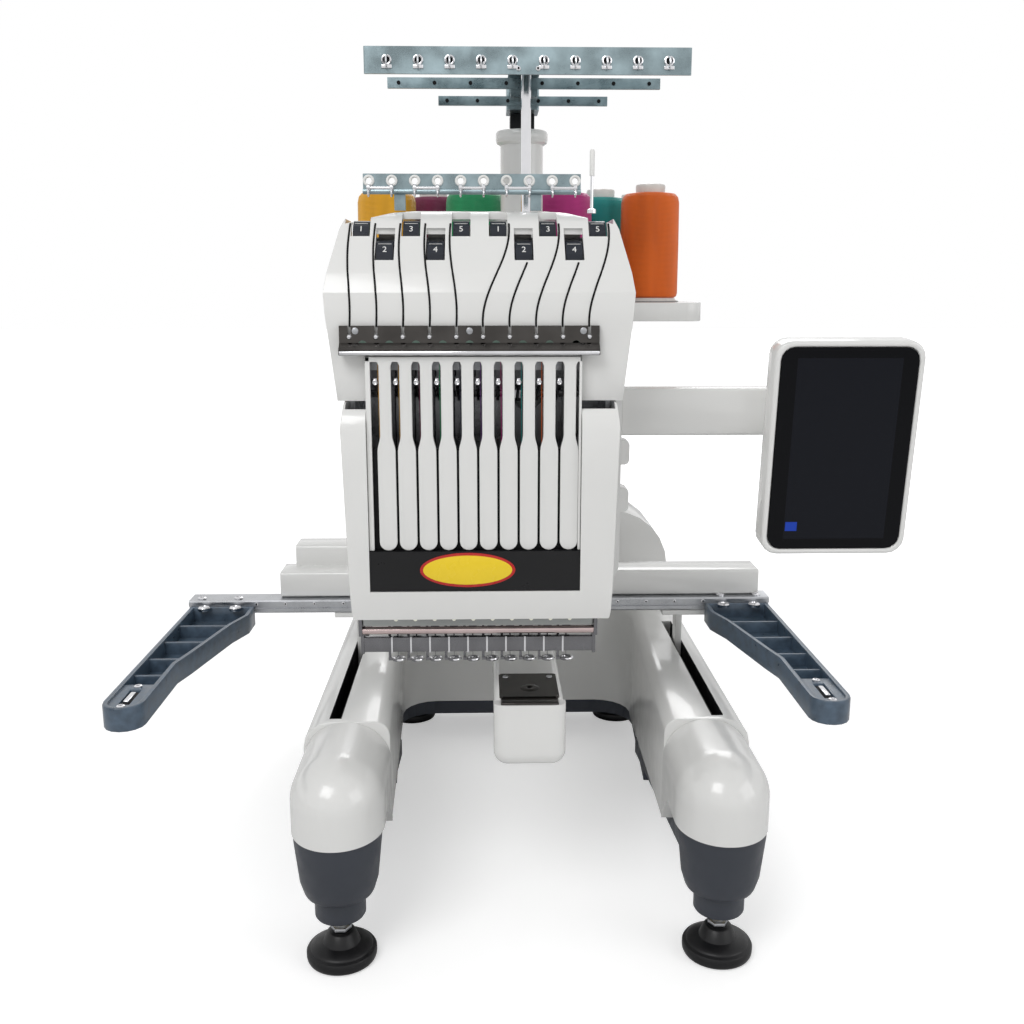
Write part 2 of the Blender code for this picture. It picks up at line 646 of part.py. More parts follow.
def case_frame():
    """The frame behind the covers: a back plate, two cheeks and the two needle-bar guides."""
    x = CASE_CENTRE
    back = block((x - FRAME_HALF, CASE_BACK - 0.008, GUIDE_LOW[0]), (x + FRAME_HALF, CASE_BACK, 0.598))
    guides = [block((x - FRAME_HALF, -0.012, low), (x + FRAME_HALF, CASE_BACK - 0.004, high))
              for low, high in (GUIDE_LOW, GUIDE_HIGH)]
    cheek = [(-0.008, GUIDE_LOW[0] + 0.002), (-0.008, 0.582), (0.012, 0.600), (CASE_BACK - 0.004, 0.600),
             (CASE_BACK - 0.004, GUIDE_LOW[0] + 0.002)]
    cheeks = [prism(cheek, "X", x + side * FRAME_HALF - 0.002, x + side * FRAME_HALF + 0.002)
              for side in (-1, 1)]
    axles = [rod((x - FRAME_HALF, y, z), DIAL_AXLE_RADIUS, 2 * FRAME_HALF, "X", 8)
             for y, z in (DIAL_HIGH, DIAL_LOW)]
    runners = [block((x - FRAME_HALF, CASE_BACK - 0.001, z), (x + FRAME_HALF, ARM_FRONT - GAP, z + 0.014))
               for z in RUNNERS]
    tunnel = rod((0, CASE_BACK - 0.02, SHAFT_Z), 0.014, 0.04, "Y", 12)
    holes = [rod((needle_x(k), 0, GUIDE_LOW[0] - 0.01), NEEDLE_BAR_RADIUS * 1.14, 0.32, segments=8)
             for k in range(NEEDLES)]
    holes.append(rod((needle_x(ACTIVE) - FOOT_OFFSET, 0, GUIDE_LOW[0] - 0.01), 0.0023, 0.04, segments=8))
    return make("case_frame", STEEL, back, [*guides, gather(cheeks), gather(axles), gather(runners)],
                [tunnel, gather(holes)], parent=CASE)


def front_view(stations):
    """The case's outline from the front, from (height, half width) stations."""
    right = [(CASE_CENTRE + half, z) for z, half in stations]
    return right + [(CASE_CENTRE - half, z) for z, half in reversed(stations)]


def case_front_cover():
    """The lower cover: two cheeks and a sill, open in the middle and at the back."""
    half, low, high, front = COVER_HALF_WIDTH, CASE_BOTTOM, COVER_SPLIT, COVER_FRONT
    profile = ([(0.040, low), (0.040, high - GAP), (front + 0.022, high - GAP)]
               + arc((front + 0.022, high - 0.022), 0.022, 90, 180, 4)[1:]
               + [(front + 0.001, low + 0.03), (front + 0.008, low + 0.004), (front + 0.014, low)])
    body = prism(profile, "X", CASE_CENTRE - half, CASE_CENTRE + half)
    keep = prism(front_view([(low - 0.01, half - 0.006), (low + 0.012, half - 0.004), (high - 0.02, half),
                             (high + 0.01, half - 0.003)]), "Y", -0.1, 0.1)
    inside = block((CASE_CENTRE - half + 0.0035, front + 0.008, low - 0.01),
                   (CASE_CENTRE + half - 0.0035, 0.1, high + 0.01))
    window = block((WINDOW_CENTRE - WINDOW_HALF, front - 0.01, BAND_BOTTOM),
                   (WINDOW_CENTRE + WINDOW_HALF, 0, 0.6))
    return make("case_front_cover", WHITE, body, cut=[inside, window], keep=[keep], parent=CASE)


def name_band():
    """The plain dark insert below the fingers."""
    half = WINDOW_HALF - GAP
    return make("name_band", GREY, block((WINDOW_CENTRE - half, COVER_FRONT + 0.002, BAND_BOTTOM + GAP),
                                         (WINDOW_CENTRE + half, COVER_FRONT + 0.0105, BAND_TOP)),
                parent=CASE)


def slot_x(index):
    return needle_x(index) + SLOT_OFFSET


def finger_comb():
    """The white fingers between the take-up slots."""
    half = WINDOW_HALF - GAP
    low, high = FINGER_BOTTOM - 0.0005, COMB_TOP
    front = COVER_FRONT + 0.004
    comb = block((WINDOW_CENTRE - half, front, low), (WINDOW_CENTRE + half, front + 0.005, high))
    slots = []
    for k in range(NEEDLES):
        x, wide, thin = slot_x(k), TAKE_UP_SLOT_WIDTH / 2, FINGER_GAP / 2
        outline = ([(x - thin, low - 0.01), (x + thin, low - 0.01), (x + thin, FINGER_SHOULDER - 0.006),
                    (x + wide, FINGER_SHOULDER)]
                   + arc((x, FINGER_SLOT_TOP - wide), wide, 0, 180, 4)
                   + [(x - wide, FINGER_SHOULDER), (x - thin, FINGER_SHOULDER - 0.006)])
        slots.append(prism(outline, "Y", front - 0.01, front + 0.02))
    return make("finger_comb", WHITE, comb, cut=[gather(slots)], parent=CASE)


UPPER_PROFILE = [(-0.030, COVER_SPLIT + GAP), (-0.033, 0.500), (-0.036, 0.540), (-0.035, 0.556),
                 (-0.026, 0.572), (0.000, 0.600), (0.010, 0.612), (0.022, 0.619), (0.036, 0.621),
                 (0.052, 0.620)]


def case_upper_cover():
    """The upper cover, which slopes back over the tension dials."""
    outline = UPPER_PROFILE + [(0.052, COVER_SPLIT + GAP)]
    half = COVER_HALF_WIDTH + 0.011
    body = prism(outline, "X", CASE_CENTRE - half, CASE_CENTRE + half)
    edges = front_view([(COVER_SPLIT - 0.01, half - 0.009), (0.540, half - 0.001), (0.556, half),
                        (0.570, half - 0.002), (0.605, half - 0.009), (0.614, half - 0.013)])
    crown = arc((CASE_CENTRE, 0.260), 0.3655, 73, 107, 6)
    keep = prism(edges[:6] + crown + edges[6:], "Y", -0.1, 0.1)
    skin = SKIN
    hollow = prism([(-0.030 + skin, COVER_SPLIT - 0.01), (-0.033 + skin, 0.500), (-0.036 + skin, 0.540),
                    (-0.032, 0.553), (-0.018, 0.574), (0.0045, 0.598), (0.012, 0.608), (0.024, 0.614),
                    (0.1, 0.614), (0.1, COVER_SPLIT - 0.01)], "X", CASE_CENTRE - half + 0.0055,
                   CASE_CENTRE + half - 0.0055)
    sides = prism(front_view([(COVER_SPLIT - 0.02, half - 0.0125), (0.556, half - 0.004),
                              (0.603, half - 0.0135), (0.70, half - 0.0135)]), "Y", -0.2, 0.2)
    trim = hollow.modifiers.new("sides", "BOOLEAN")
    trim.operation = "INTERSECT"
    trim.object = sides
    hide(sides)
    comb_way = block((WINDOW_CENTRE - WINDOW_HALF, -0.06, COVER_SPLIT - 0.01),
                     (WINDOW_CENTRE + WINDOW_HALF, 0.0, COMB_TOP + GAP))
    windows = []
    for offset, high in dial_places():
        y, z = DIAL_HIGH if high else DIAL_LOW
        w = DIAL_WIDTH / 2 + 0.001
        windows.append(block((CASE_CENTRE + offset - w, y - DIAL_RADIUS - 0.004, z - 0.010),
                             (CASE_CENTRE + offset + w, y + 0.004, z + DIAL_RADIUS + 0.010)))
    return make("case_upper_cover", WHITE, body, cut=[hollow, comb_way, gather(windows)], keep=[keep],
                parent=CASE)


def dial_places():
    """Offset from the case's centre and row (True is the upper one) of each dial, left to right."""
    right = [(DIAL_FIRST + i * DIAL_STEP, i % 2 == 0) for i in range(NEEDLES // 2)]
    return [(-offset, high) for offset, high in reversed(right)] + right


def tension_dial(index):
    """A thumb wheel with a notch in its rim, turning on its row's axle."""
    offset, high = dial_places()[index]
    y, z = DIAL_HIGH if high else DIAL_LOW
    x = CASE_CENTRE + offset
    name = f"tension_dial_{index + 1:02d}"
    axis = pivot(name + "_axis", (x, y, z), CASE)
    wheel = rod((x - DIAL_WIDTH / 2, y, z), DIAL_RADIUS, DIAL_WIDTH, "X", 16)
    bore = rod((x - DIAL_WIDTH, y, z), DIAL_AXLE_RADIUS * 1.10, 2 * DIAL_WIDTH, "X", 8)
    notch = block((x - 0.02, y - 0.0012, z + DIAL_RADIUS - 0.0015), (x + 0.02, y + 0.0012, z + 0.03))
    return make(name, GREY, wheel, cut=[bore, notch], parent=axis)


def lever(index):
    """A take-up lever, drawn at rest, as a thin tapering bar with an eye."""
    x, (y, z) = slot_x(index), LEVER_PIVOT
    half = 0.0012
    tip = y - LEVER_LENGTH
    bar = prism([(y, z - 0.006), (y, z + 0.006), (tip, z + 0.0025), (tip, z - 0.0025)],
                "X", x - half, x + half)
    bmesh_turn(bar, (0, y, z), -LEVER_REST)
    return bar


def bmesh_turn(piece, centre, angle):
    """Turns a shape about an axis along X."""
    about = Matrix.Translation(Vector(centre))
    piece.data.transform(about @ Matrix.Rotation(angle, 4, "X") @ about.inverted())


def take_up_levers():
    y, z = LEVER_PIVOT
    half = FRAME_HALF - 0.002 - GAP
    shaft = rod((CASE_CENTRE - half, y, z), 0.003, 2 * half, "X", 8)
    parked = [lever(k) for k in range(NEEDLES) if k != ACTIVE]
    make("take_up_levers_parked", CHROME, shaft, [gather(parked)], parent=CASE)
    x = slot_x(ACTIVE)
    axis = pivot("take_up_lever_axis", (x, y, z), CASE)
    hub = rod((x - 0.003, y, z), 0.0065, 0.006, "X", 12)
    bore = rod((x - 0.01, y, z), 0.00345, 0.02, "X", 8)
    make("take_up_lever_3", CHROME, lever(ACTIVE), [hub], [bore], parent=axis)


# ---------------------------------------------------------------- needle bars and presser feet
FOOT_OFFSET = 0.007
FOOT_BOTTOM = 0.2465
WIRE = 0.0013


def needle_bar(k):
    """The bar, its clamp and the needle."""
    x = needle_x(k)
    clamp_low = 0.272
    bar = rod((x, 0, clamp_low + 0.004), NEEDLE_BAR_RADIUS, NEEDLE_BAR_TOP - clamp_low - 0.004, segments=8)
    clamp = block((x - 0.0035, -0.0040, clamp_low), (x + 0.0035, 0.0035, clamp_low + 0.012))
    needle = rod((x, 0, NEEDLE_TIP), 0.0002, clamp_low + 0.002 - NEEDLE_TIP, segments=6, end_radius=0.0009)
    collar = rod((x, 0, GUIDE_HIGH[0] - GAP - 0.006), 0.0042, 0.006, segments=8)
    return [bar, clamp, needle, collar]


def presser_foot(k, top):
    """The bent wire foot: a stem left of the needle, a heel and a ring round the needle's tip."""
    x = needle_x(k)
    stem_x = x - FOOT_OFFSET
    stem = rod((stem_x, 0, FOOT_BOTTOM), WIRE, top - FOOT_BOTTOM, segments=6)
    heel = block((stem_x - WIRE, -WIRE, FOOT_BOTTOM), (x - 0.0035, WIRE, FOOT_BOTTOM + 0.0022))
    ring = turned([(0.0030, FOOT_BOTTOM), (0.0052, FOOT_BOTTOM), (0.0052, FOOT_BOTTOM + 0.0022),
                   (0.0030, FOOT_BOTTOM + 0.0022)], (x, 0, 0), segments=10)
    return [stem, heel, ring]


def needle_unit(k):
    """A parked needle bar with its foot held up by the clamp."""
    name = f"needle_unit_{NEEDLES - k:02d}"
    axis = pivot(name + "_axis", (needle_x(k), 0, NEEDLE_TIP), CASE)
    bar, *rest = needle_bar(k) + presser_foot(k, 0.284)
    bridge = block((needle_x(k) - FOOT_OFFSET - WIRE, -0.0015, 0.279), (needle_x(k), 0.0015, 0.2825))
    return make(name, CHROME, bar, [*rest, bridge], parent=axis)


def active_unit():
    x = needle_x(ACTIVE)
    bar_axis = pivot("needle_bar_axis", (x, 0, NEEDLE_TIP), CASE)
    bar, *rest = needle_bar(ACTIVE)
    make("needle_bar_3", CHROME, bar, rest, parent=bar_axis)
    foot_axis = pivot("presser_foot_axis", (x - FOOT_OFFSET, 0, FOOT_BOTTOM), CASE)
    stem, *others = presser_foot(ACTIVE, GUIDE_LOW[1] + 0.030)
    guide = rod((x - FOOT_OFFSET, 0, GUIDE_LOW[0] - 0.004), 0.0019, 0.048, segments=8)
    make("presser_foot_3", CHROME, stem, [*others, guide], parent=foot_axis)


# ---------------------------------------------------------------- thread guides on the case
def thread_plate():
    """The mirror-dark plate that the threads run behind, with its rolled lower lip."""
    x, half, y = CASE_CENTRE - 0.008, 0.1005, UPPER_PROFILE[2][0] - GAP
    profile = [(y, 0.531), (y - 0.0025, 0.531), (y - 0.0035, 0.518), (y - 0.010, 0.513), (y - 0.010, 0.509),
               (y - 0.003, 0.508), (y, 0.511)]
    plate = prism(profile, "X", x - half, x + half)
    notches = []
    for k in range(NEEDLES):
        middle = x + (k - (NEEDLES - 1) / 2) * 0.0206
        notches.append(block((middle - 0.0012, -0.2, 0.524), (middle + 0.0012, 0, 0.6)))
    return make("thread_plate", CHROME, plate, cut=[gather(notches)], parent=CASE)


def foot_rail():
    """Below the cover: the lamp strip, a polished rod and the dark bar in front of the feet."""
    x, half = CASE_CENTRE - 0.003, 0.0975
    lamp = block((x - half + 0.001, -0.026, 0.2845), (x + half - 0.001, -0.013, CASE_BOTTOM + 0.007),
                 0.002, "X")
    bar = block((x - half, -0.014, 0.2585), (x + half, -0.0085, 0.2715))
    top = GUIDE_LOW[0] - GAP
    end = [(-0.027, 0.283), (-0.024, 0.277), (-0.014, 0.257), (-0.0065, 0.257), (-0.0065, top), (-0.027, top)]
    ends = [prism(end, "X", x + side * half - 0.0015, x + side * half + 0.0015) for side in (-1, 1)]
    polished = rod((x - half, -0.0225, 0.2805), 0.0032, 2 * half, "X", 10)
    return make("foot_rail", CHROME, lamp, [gather(ends), bar, polished], parent=CASE)


def head_guide_rail():
    """The rail of thread eyes that stands on two posts over the case."""
    x, half, y = CASE_CENTRE - 0.006, 0.0885, 0.030
    rail = block((x - half, y, 0.634), (x + half, y + 0.003, 0.650), 0.001, "Z", 1)
    holes = [rod((x + (k - 4.5) * 0.0186, y - 0.01, 0.6445), 0.0028, 0.03, "Y", 8) for k in range(NEEDLES)]
    posts = [block((x + offset - 0.0045, y + 0.0015, 0.6214), (x + offset + 0.0045, y + 0.0055, 0.640))
             for offset in (-0.059, 0.052)]
    wire = rod((x - half, y - 0.0015, 0.636), 0.0020, 2 * half, "X", 8)
    return make("head_guide_rail", STEEL, rail, [gather(posts), wire], [gather(holes)], parent=CASE)


case_frame()
case_front_cover()
name_band()
finger_comb()
case_upper_cover()
for dial in range(NEEDLES):
    tension_dial(dial)
take_up_levers()
active_unit()
for parked in range(NEEDLES):
    if parked != ACTIVE:
        needle_unit(parked)
thread_plate()
foot_rail()
head_guide_rail()


# ---------------------------------------------------------------- tower, thread stand and screen
def guide_tower():
    """The hollow-looking post behind the case, with a lip and the black block that holds the guides."""
    r, low, top = TOWER_RADIUS, ARM_TOP + GAP, TOWER_TOP
    profile = [(0, low), (r, low), (r, top - 0.012), (r + 0.004, top - 0.010), (r + 0.004, top), (0, top)]
    body = turned(profile, (0, TOWER_Y, 0), segments=28)
    clamp = block((-0.010, TOWER_Y - 0.012, top - 0.005), (0.010, TOWER_Y + 0.010, top + 0.016))
    return make("guide_tower", WHITE, body, [clamp])


def guide_bars():
    """The steel bracket on the tower with its two shorter guide bars."""
    top = GUIDE_TOP - 0.0025 - GAP
    low = TOWER_TOP + 0.016 + GAP
    bracket = block((-0.015, TOWER_Y - 0.030, low), (0.015, TOWER_Y + 0.008, top), 0.002)
    spine = block((-0.012, 0.140, low + 0.006), (0.012, TOWER_Y, low + 0.010))
    middle = block((-0.122, 0.137, 0.734), (0.122, 0.141, 0.743))
    join = block((-0.012, 0.138, low + 0.006), (0.012, 0.141, 0.740))
    lower = block((-0.078, TOWER_Y - 0.033, 0.7245), (0.078, TOWER_Y - 0.029, 0.7325))
    return make("guide_bars", STEEL, bracket, [spine, middle, join, lower])


def guide_plate_top():
    """The wide angle plate with the eyes that the threads cross first."""
    half, front = GUIDE_WIDTH / 2, 0.046
    sheet = 0.0025
    flange = block((-half, front, GUIDE_TOP - 0.021), (half, front + sheet, GUIDE_TOP), 0.001, "Z", 1)
    flat = block((-half + 0.004, front, GUIDE_TOP - sheet), (half - 0.004, POST_Y + 0.012, GUIDE_TOP))
    tongue = block((-0.014, POST_Y, GUIDE_TOP - sheet), (0.014, TOWER_Y + 0.006, GUIDE_TOP))
    rear = block((-half + 0.02, POST_Y + 0.010, GUIDE_TOP - 0.010), (half - 0.02, POST_Y + 0.0125, GUIDE_TOP))
    return make("guide_plate_top", STEEL, flange, [flat, tongue, rear])


def guide_post():
    low, high = ARM_TOP + GAP, GUIDE_TOP - 0.0025 - GAP
    return make("guide_post", CHROME, rod((0, POST_Y, low), POST_RADIUS, high - low, segments=12))


def cone_places():
    return [(x, y) for y, row in CONE_ROWS for x in row]


def spool_tray():
    """The tray behind the arm, with a pin for each cone."""
    half = TRAY_HALF_WIDTH
    tray = block((-half, TRAY_FRONT, TRAY_BOTTOM), (half, TRAY_BACK, TRAY_TOP), 0.018, "Z", 3)
    pins = [rod((x, y, TRAY_TOP - 0.004), PIN_RADIUS, PIN_HEIGHT, segments=8) for x, y in cone_places()]
    return make("spool_tray", WHITE, tray, [gather(pins)])


def thread_cones():
    """Ten cones of thread on one felt mat, which has the tray's pins through it."""
    low = TRAY_TOP + GAP
    xs, ys = [x for x, _ in cone_places()], [y for _, y in cone_places()]
    mat = block((min(xs) - 0.020, min(ys) - 0.020, low), (max(xs) + 0.020, max(ys) + 0.020,
                                                         low + MAT_THICKNESS), 0.004)
    base, r = low + MAT_THICKNESS - 0.0005, CONE_RADIUS
    profile = [(0, base), (r - 0.0012, base), (r, base + 0.006), (r - 0.003, base + CONE_HEIGHT - 0.022),
               (r - 0.013, base + CONE_HEIGHT - 0.007), (0.012, base + CONE_HEIGHT), (0, base + CONE_HEIGHT)]
    cones = [turned(profile, (x, y, 0), segments=12) for x, y in cone_places()]
    bores = [rod((x, y, low - 0.01), CONE_BORE, 0.2, segments=8) for x, y in cone_places()]
    return make("thread_cones", THREAD, mat, [gather(cones)], [gather(bores)])


def screen_arm():
    """The box arm from the body to the screen, with the lug that the screen tilts on."""
    x, y, z = SCREEN_HINGE
    arm = block((BODY_HALF_WIDTH + GAP, SCREEN_ARM_FRONT, SCREEN_ARM_BOTTOM),
                (x + 0.030, SCREEN_ARM_BACK, SCREEN_ARM_TOP), 0.003, "X")
    lug = block((x - 0.012, y - 0.008, z - 0.010), (x + 0.012, SCREEN_ARM_FRONT + 0.004, z + 0.010),
                0.0075, "X", 2)
    bore = rod((x - 0.03, y, z), 0.0033, 0.06, "X", 12)
    return make("screen_arm", WHITE, arm, [lug], [bore])


def lean(piece):
    """Leans a piece of the screen, drawn upright, about its centre."""
    bmesh_turn(piece, SCREEN_CENTRE, SCREEN_LEAN)
    return piece


def screen():
    (cx, cy, cz), (width, depth, height) = SCREEN_CENTRE, SCREEN_SIZE
    x, y, z = SCREEN_HINGE
    axis = pivot("screen_hinge", SCREEN_HINGE)
    body = lean(block((cx - width / 2, cy - depth / 2, cz - height / 2),
                      (cx + width / 2, cy + depth / 2, cz + height / 2), 0.014, "Y", 4))
    recess = lean(block((cx - width / 2 + 0.005, cy - depth / 2 - 0.01, cz - height / 2 + 0.005),
                        (cx + width / 2 - 0.005, cy - depth / 2 + 0.003, cz + height / 2 - 0.005),
                        0.011, "Y", 4))
    ears = [block((x + side * 0.0155 - 0.003, cy + 0.006, z - 0.008),
                  (x + side * 0.0155 + 0.003, y + 0.006, z + 0.008), 0.003, "X") for side in (-1, 1)]
    pin = rod((x - 0.017, y, z), 0.003, 0.034, "X", 12)
    make("screen_housing", WHITE, body, [gather(ears), pin], [recess], parent=axis)
    inset = 0.005 + GAP
    glass = lean(block((cx - width / 2 + inset, cy - depth / 2 + 0.0002, cz - height / 2 + inset),
                       (cx + width / 2 - inset, cy - depth / 2 + 0.003 - GAP, cz + height / 2 - inset),
                       0.011, "Y", 4))
    make("screen_glass", GLASS, glass, parent=axis)


guide_tower()
guide_bars()
guide_plate_top()
guide_post()
spool_tray()
thread_cones()
screen_arm()
screen()


def settle():
    """Moves the machine so that the origin is on the floor at the centre of its footprint."""
    bpy.context.view_layer.update()
    graph = bpy.context.evaluated_depsgraph_get()
    corners = []
    for piece in bpy.data.objects:
        if piece.type == "MESH" and not piece.hide_render:
            evaluated = piece.evaluated_get(graph)
            corners += [evaluated.matrix_world @ Vector(corner) for corner in evaluated.bound_box]
    middle = [(min(c[i] for c in corners) + max(c[i] for c in corners)) / 2 for i in (0, 1)]
    root.location = (-middle[0], -middle[1], 0)
    print(f"the design frame's origin is now at {-middle[0]:.5f}, {-middle[1]:.5f}")


settle()
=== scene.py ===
# %% [markdown]
# # A ten-needle embroidery machine
# The machine's frame, with its real sizes and joints, comes first and stays as it is.
# Everything below either gives a frame part a finish, or adds a finer piece that rides on one of its bodies.

# %% Load the frame
import json
import math

import bmesh
import bpy
from mathutils import Matrix, Vector


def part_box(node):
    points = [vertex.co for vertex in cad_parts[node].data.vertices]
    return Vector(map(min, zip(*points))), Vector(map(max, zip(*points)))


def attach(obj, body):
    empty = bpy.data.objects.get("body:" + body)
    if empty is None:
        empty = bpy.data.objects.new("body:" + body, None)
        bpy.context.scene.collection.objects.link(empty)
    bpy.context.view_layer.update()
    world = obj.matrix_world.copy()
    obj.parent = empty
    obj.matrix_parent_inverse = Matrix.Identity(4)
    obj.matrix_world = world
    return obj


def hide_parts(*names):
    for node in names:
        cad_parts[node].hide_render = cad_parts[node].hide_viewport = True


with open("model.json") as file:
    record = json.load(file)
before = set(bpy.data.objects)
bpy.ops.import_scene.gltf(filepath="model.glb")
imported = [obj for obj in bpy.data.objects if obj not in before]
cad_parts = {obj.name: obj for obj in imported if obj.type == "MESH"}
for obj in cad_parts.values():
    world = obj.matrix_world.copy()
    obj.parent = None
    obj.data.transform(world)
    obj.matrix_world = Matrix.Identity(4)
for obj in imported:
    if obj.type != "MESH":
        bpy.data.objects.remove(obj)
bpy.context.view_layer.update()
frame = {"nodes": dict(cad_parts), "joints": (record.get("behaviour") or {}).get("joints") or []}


# %% [markdown]
# ## Where things are
# Every place is read from the frame's own boxes, so a new piece lands on the part it belongs to.
# A small Box class gives a node's middle and its ends by name, which reads better than indexes.

# %% Boxes by name
class Box:
    """The rest box of one or more nodes."""

    def __init__(self, *nodes):
        lows, highs = zip(*(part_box(node) for node in nodes))
        self.low = Vector([min(low[i] for low in lows) for i in range(3)])
        self.high = Vector([max(high[i] for high in highs) for i in range(3)])
        self.middle = (self.low + self.high) / 2
        self.size = self.high - self.low


UPPER, LOWER, COMB = Box("case_upper_cover"), Box("case_front_cover"), Box("finger_comb")
CASE_X = LOWER.middle.x
NEEDLES = 10
HALF_WAY = (NEEDLES - 1) / 2
DIALS = [Box(f"tension_dial_{i + 1:02d}") for i in range(NEEDLES)]


def needle_box(number):
    """The needle units are numbered from the right, and number 3 is the one in work."""
    return Box("needle_bar_3", "presser_foot_3") if number == 3 else Box(f"needle_unit_{number:02d}")


NEEDLE_X = [needle_box(NEEDLES - i).high.x - 0.0042 for i in range(NEEDLES)]
PITCH = (NEEDLE_X[-1] - NEEDLE_X[0]) / (NEEDLES - 1)
print("needle pitch in mm:", round(PITCH * 1000, 2), "case centre:", round(CASE_X, 4))


# %% [markdown]
# ## Patterns as arithmetic
# A material's pattern is arithmetic on positions: stripes are a sine, grain is noise.
# Blender writes that as Math nodes. This class wraps a node's socket so that ordinary + and * add those
# nodes.

# %% Signals that add and multiply
class Signal:
    """A socket of a material. Arithmetic on it adds Math nodes."""

    def __init__(self, tree, socket):
        self.tree, self.socket = tree, socket

    def node(self, kind, settings=None, values=None, output=0):
        """Adds a node, sets its settings, sets or links its inputs, and gives one of its outputs."""
        made = self.tree.nodes.new(kind)
        for name, value in (settings or {}).items():
            setattr(made, name, value)
        for name, value in (values or {}).items():
            if isinstance(value, Signal):
                self.tree.links.new(value.socket, made.inputs[name])
            else:
                made.inputs[name].default_value = value
        return Signal(self.tree, made.outputs[output])

    def maths(self, operation, *values):
        return self.node("ShaderNodeMath", {"operation": operation}, dict(enumerate(values)))

    def __add__(self, other):
        return self.maths("ADD", self, other)

    def __sub__(self, other):
        return self.maths("SUBTRACT", self, other)

    def __rsub__(self, other):
        return self.maths("SUBTRACT", other, self)

    def __mul__(self, other):
        return self.maths("MULTIPLY", self, other)

    def __truediv__(self, other):
        return self.maths("DIVIDE", self, other)

    def __rtruediv__(self, other):
        return self.maths("DIVIDE", other, self)

    def __pow__(self, other):
        return self.maths("POWER", self, other)

    __radd__, __rmul__ = __add__, __mul__

    def above(self, edge):
        return self.maths("GREATER_THAN", self, edge)

    def wave(self):
        return self.maths("SINE", self)

    def size(self):
        return self.maths("ABSOLUTE", self)

    def spread(self, low, high, first=0.0, last=1.0):
        """This signal from low..high as first..last, held at the ends."""
        return self.node("ShaderNodeMapRange", {"clamp": True}, {0: self, 1: low, 2: high, 3: first, 4: last})

    def blend(self, first, second):
        """A colour: the first where this signal is 0, the second where it is 1."""
        return self.node("ShaderNodeMix", {"data_type": "RGBA"}, {0: self, 6: first, 7: second}, 2)


# %% [markdown]
# ## One way to start every finish
# Each material begins as Blender's Principled shader, with the values that are the same all over set on its
# own sockets.
# `Finish` then hands out the position on the piece, as Object coordinates, so a pattern stays put when a
# piece moves.

# %% A finish
class Finish:
    """A Principled material and the signals its patterns are made from."""

    def __init__(self, name, colour, roughness, metallic=0.0, **constants):
        self.material = bpy.data.materials.new(name)
        self.material.use_nodes = True
        self.tree = self.material.node_tree
        self.shader = self.tree.nodes["Principled BSDF"]
        self.set("Base Color", (*colour, 1))
        self.set("Roughness", roughness)
        self.set("Metallic", metallic)
        for socket, value in constants.items():
            self.set(socket.replace("_", " "), value)
        self.start = Signal(self.tree, self.shader.outputs[0])
        self.place = self.start.node("ShaderNodeTexCoord", output=3)
        parts = {0: self.place}
        self.x, self.y, self.z = (self.start.node("ShaderNodeSeparateXYZ", None, parts, i) for i in range(3))

    def set(self, socket, value):
        if isinstance(value, Signal):
            self.tree.links.new(value.socket, self.shader.inputs[socket])
        else:
            self.shader.inputs[socket].default_value = value

    def noise(self, scale, detail=2.0, stretch=(1, 1, 1)):
        """Grain: 0 to 1, with features about 1/scale metres long."""
        where = self.start.node("ShaderNodeVectorMath", {"operation": "MULTIPLY"},
                                {0: self.place, 1: stretch})
        return self.start.node("ShaderNodeTexNoise", None, {"Vector": where, "Scale": scale,
                                                            "Detail": detail})

    def bump(self, height, depth, strength=1.0):
        """Raises the surface by height times depth, in metres."""
        self.set("Normal", self.start.node("ShaderNodeBump", None,
                                           {"Height": height, "Distance": depth, "Strength": strength}))


# %% [markdown]
# ## The plastics
# The covers are a warm white glossy moulding. What makes real mouldings look real is faint:
# the gloss varies in soft patches, the skin has a very fine orange peel, and the colour drifts a little.
# The slate grey parts are the same idea with a satin skin and a fine leather-like texture.

# %% White and slate mouldings
def moulded(name, colour, roughness, grain=2500.0, depth=0.00002, drift=0.03, **constants):
    finish = Finish(name, colour, roughness, **constants)
    patches = finish.noise(9.0, 3.0)
    shade = tuple(c * (1 - drift * 2) for c in colour)
    finish.set("Base Color", patches.spread(0.35, 0.7).blend((*shade, 1), (*colour, 1)))
    smears = finish.noise(60.0, 4.0)
    finish.set("Roughness", smears.spread(0.3, 0.75, roughness * 0.75, roughness * 1.35))
    finish.bump(finish.noise(grain, 1.0) + finish.noise(70.0, 1.0) * 2.0, depth)
    return finish.material


WHITE = moulded("white_moulding", (0.80, 0.80, 0.785), 0.20, 900.0, 0.000025, 0.015, Coat_Weight=0.35,
                Coat_Roughness=0.06)
WARM_WHITE = moulded("warm_white_moulding", (0.70, 0.69, 0.66), 0.28, 900.0, 0.00003, 0.02)
SLATE = moulded("slate_moulding", (0.046, 0.052, 0.066), 0.42, 2600.0, 0.00006, 0.08, Specular_IOR_Level=0.35)
DIAL_SLATE = moulded("dial_slate", (0.020, 0.024, 0.034), 0.30, 2600.0, 0.00003, 0.1, Specular_IOR_Level=0.25)
BAND = moulded("band_charcoal", (0.012, 0.012, 0.013), 0.34, 2000.0, 0.00004, 0.1, Specular_IOR_Level=0.25)
RUBBER = moulded("pad_rubber", (0.008, 0.008, 0.009), 0.36, 1500.0, 0.00008, 0.15, Specular_IOR_Level=0.3)
# recess_black is painted shade: a near-black laid into grooves, slots, holes and sockets, where shade falls.
SHADOW = moulded("recess_black", (0.006, 0.006, 0.007), 0.6, 1500.0, 0.00005, 0.15, Specular_IOR_Level=0.15)
print("plastics:", WHITE.name, SLATE.name, RUBBER.name)


# %% [markdown]
# ## The metals
# Chrome is nearly smooth, with fine hairlines. Zinc plate is bluer and blotchy, from the bath.
# The hoop arms are castings under satin blue-grey paint, where the paint pools into a soft mottling.

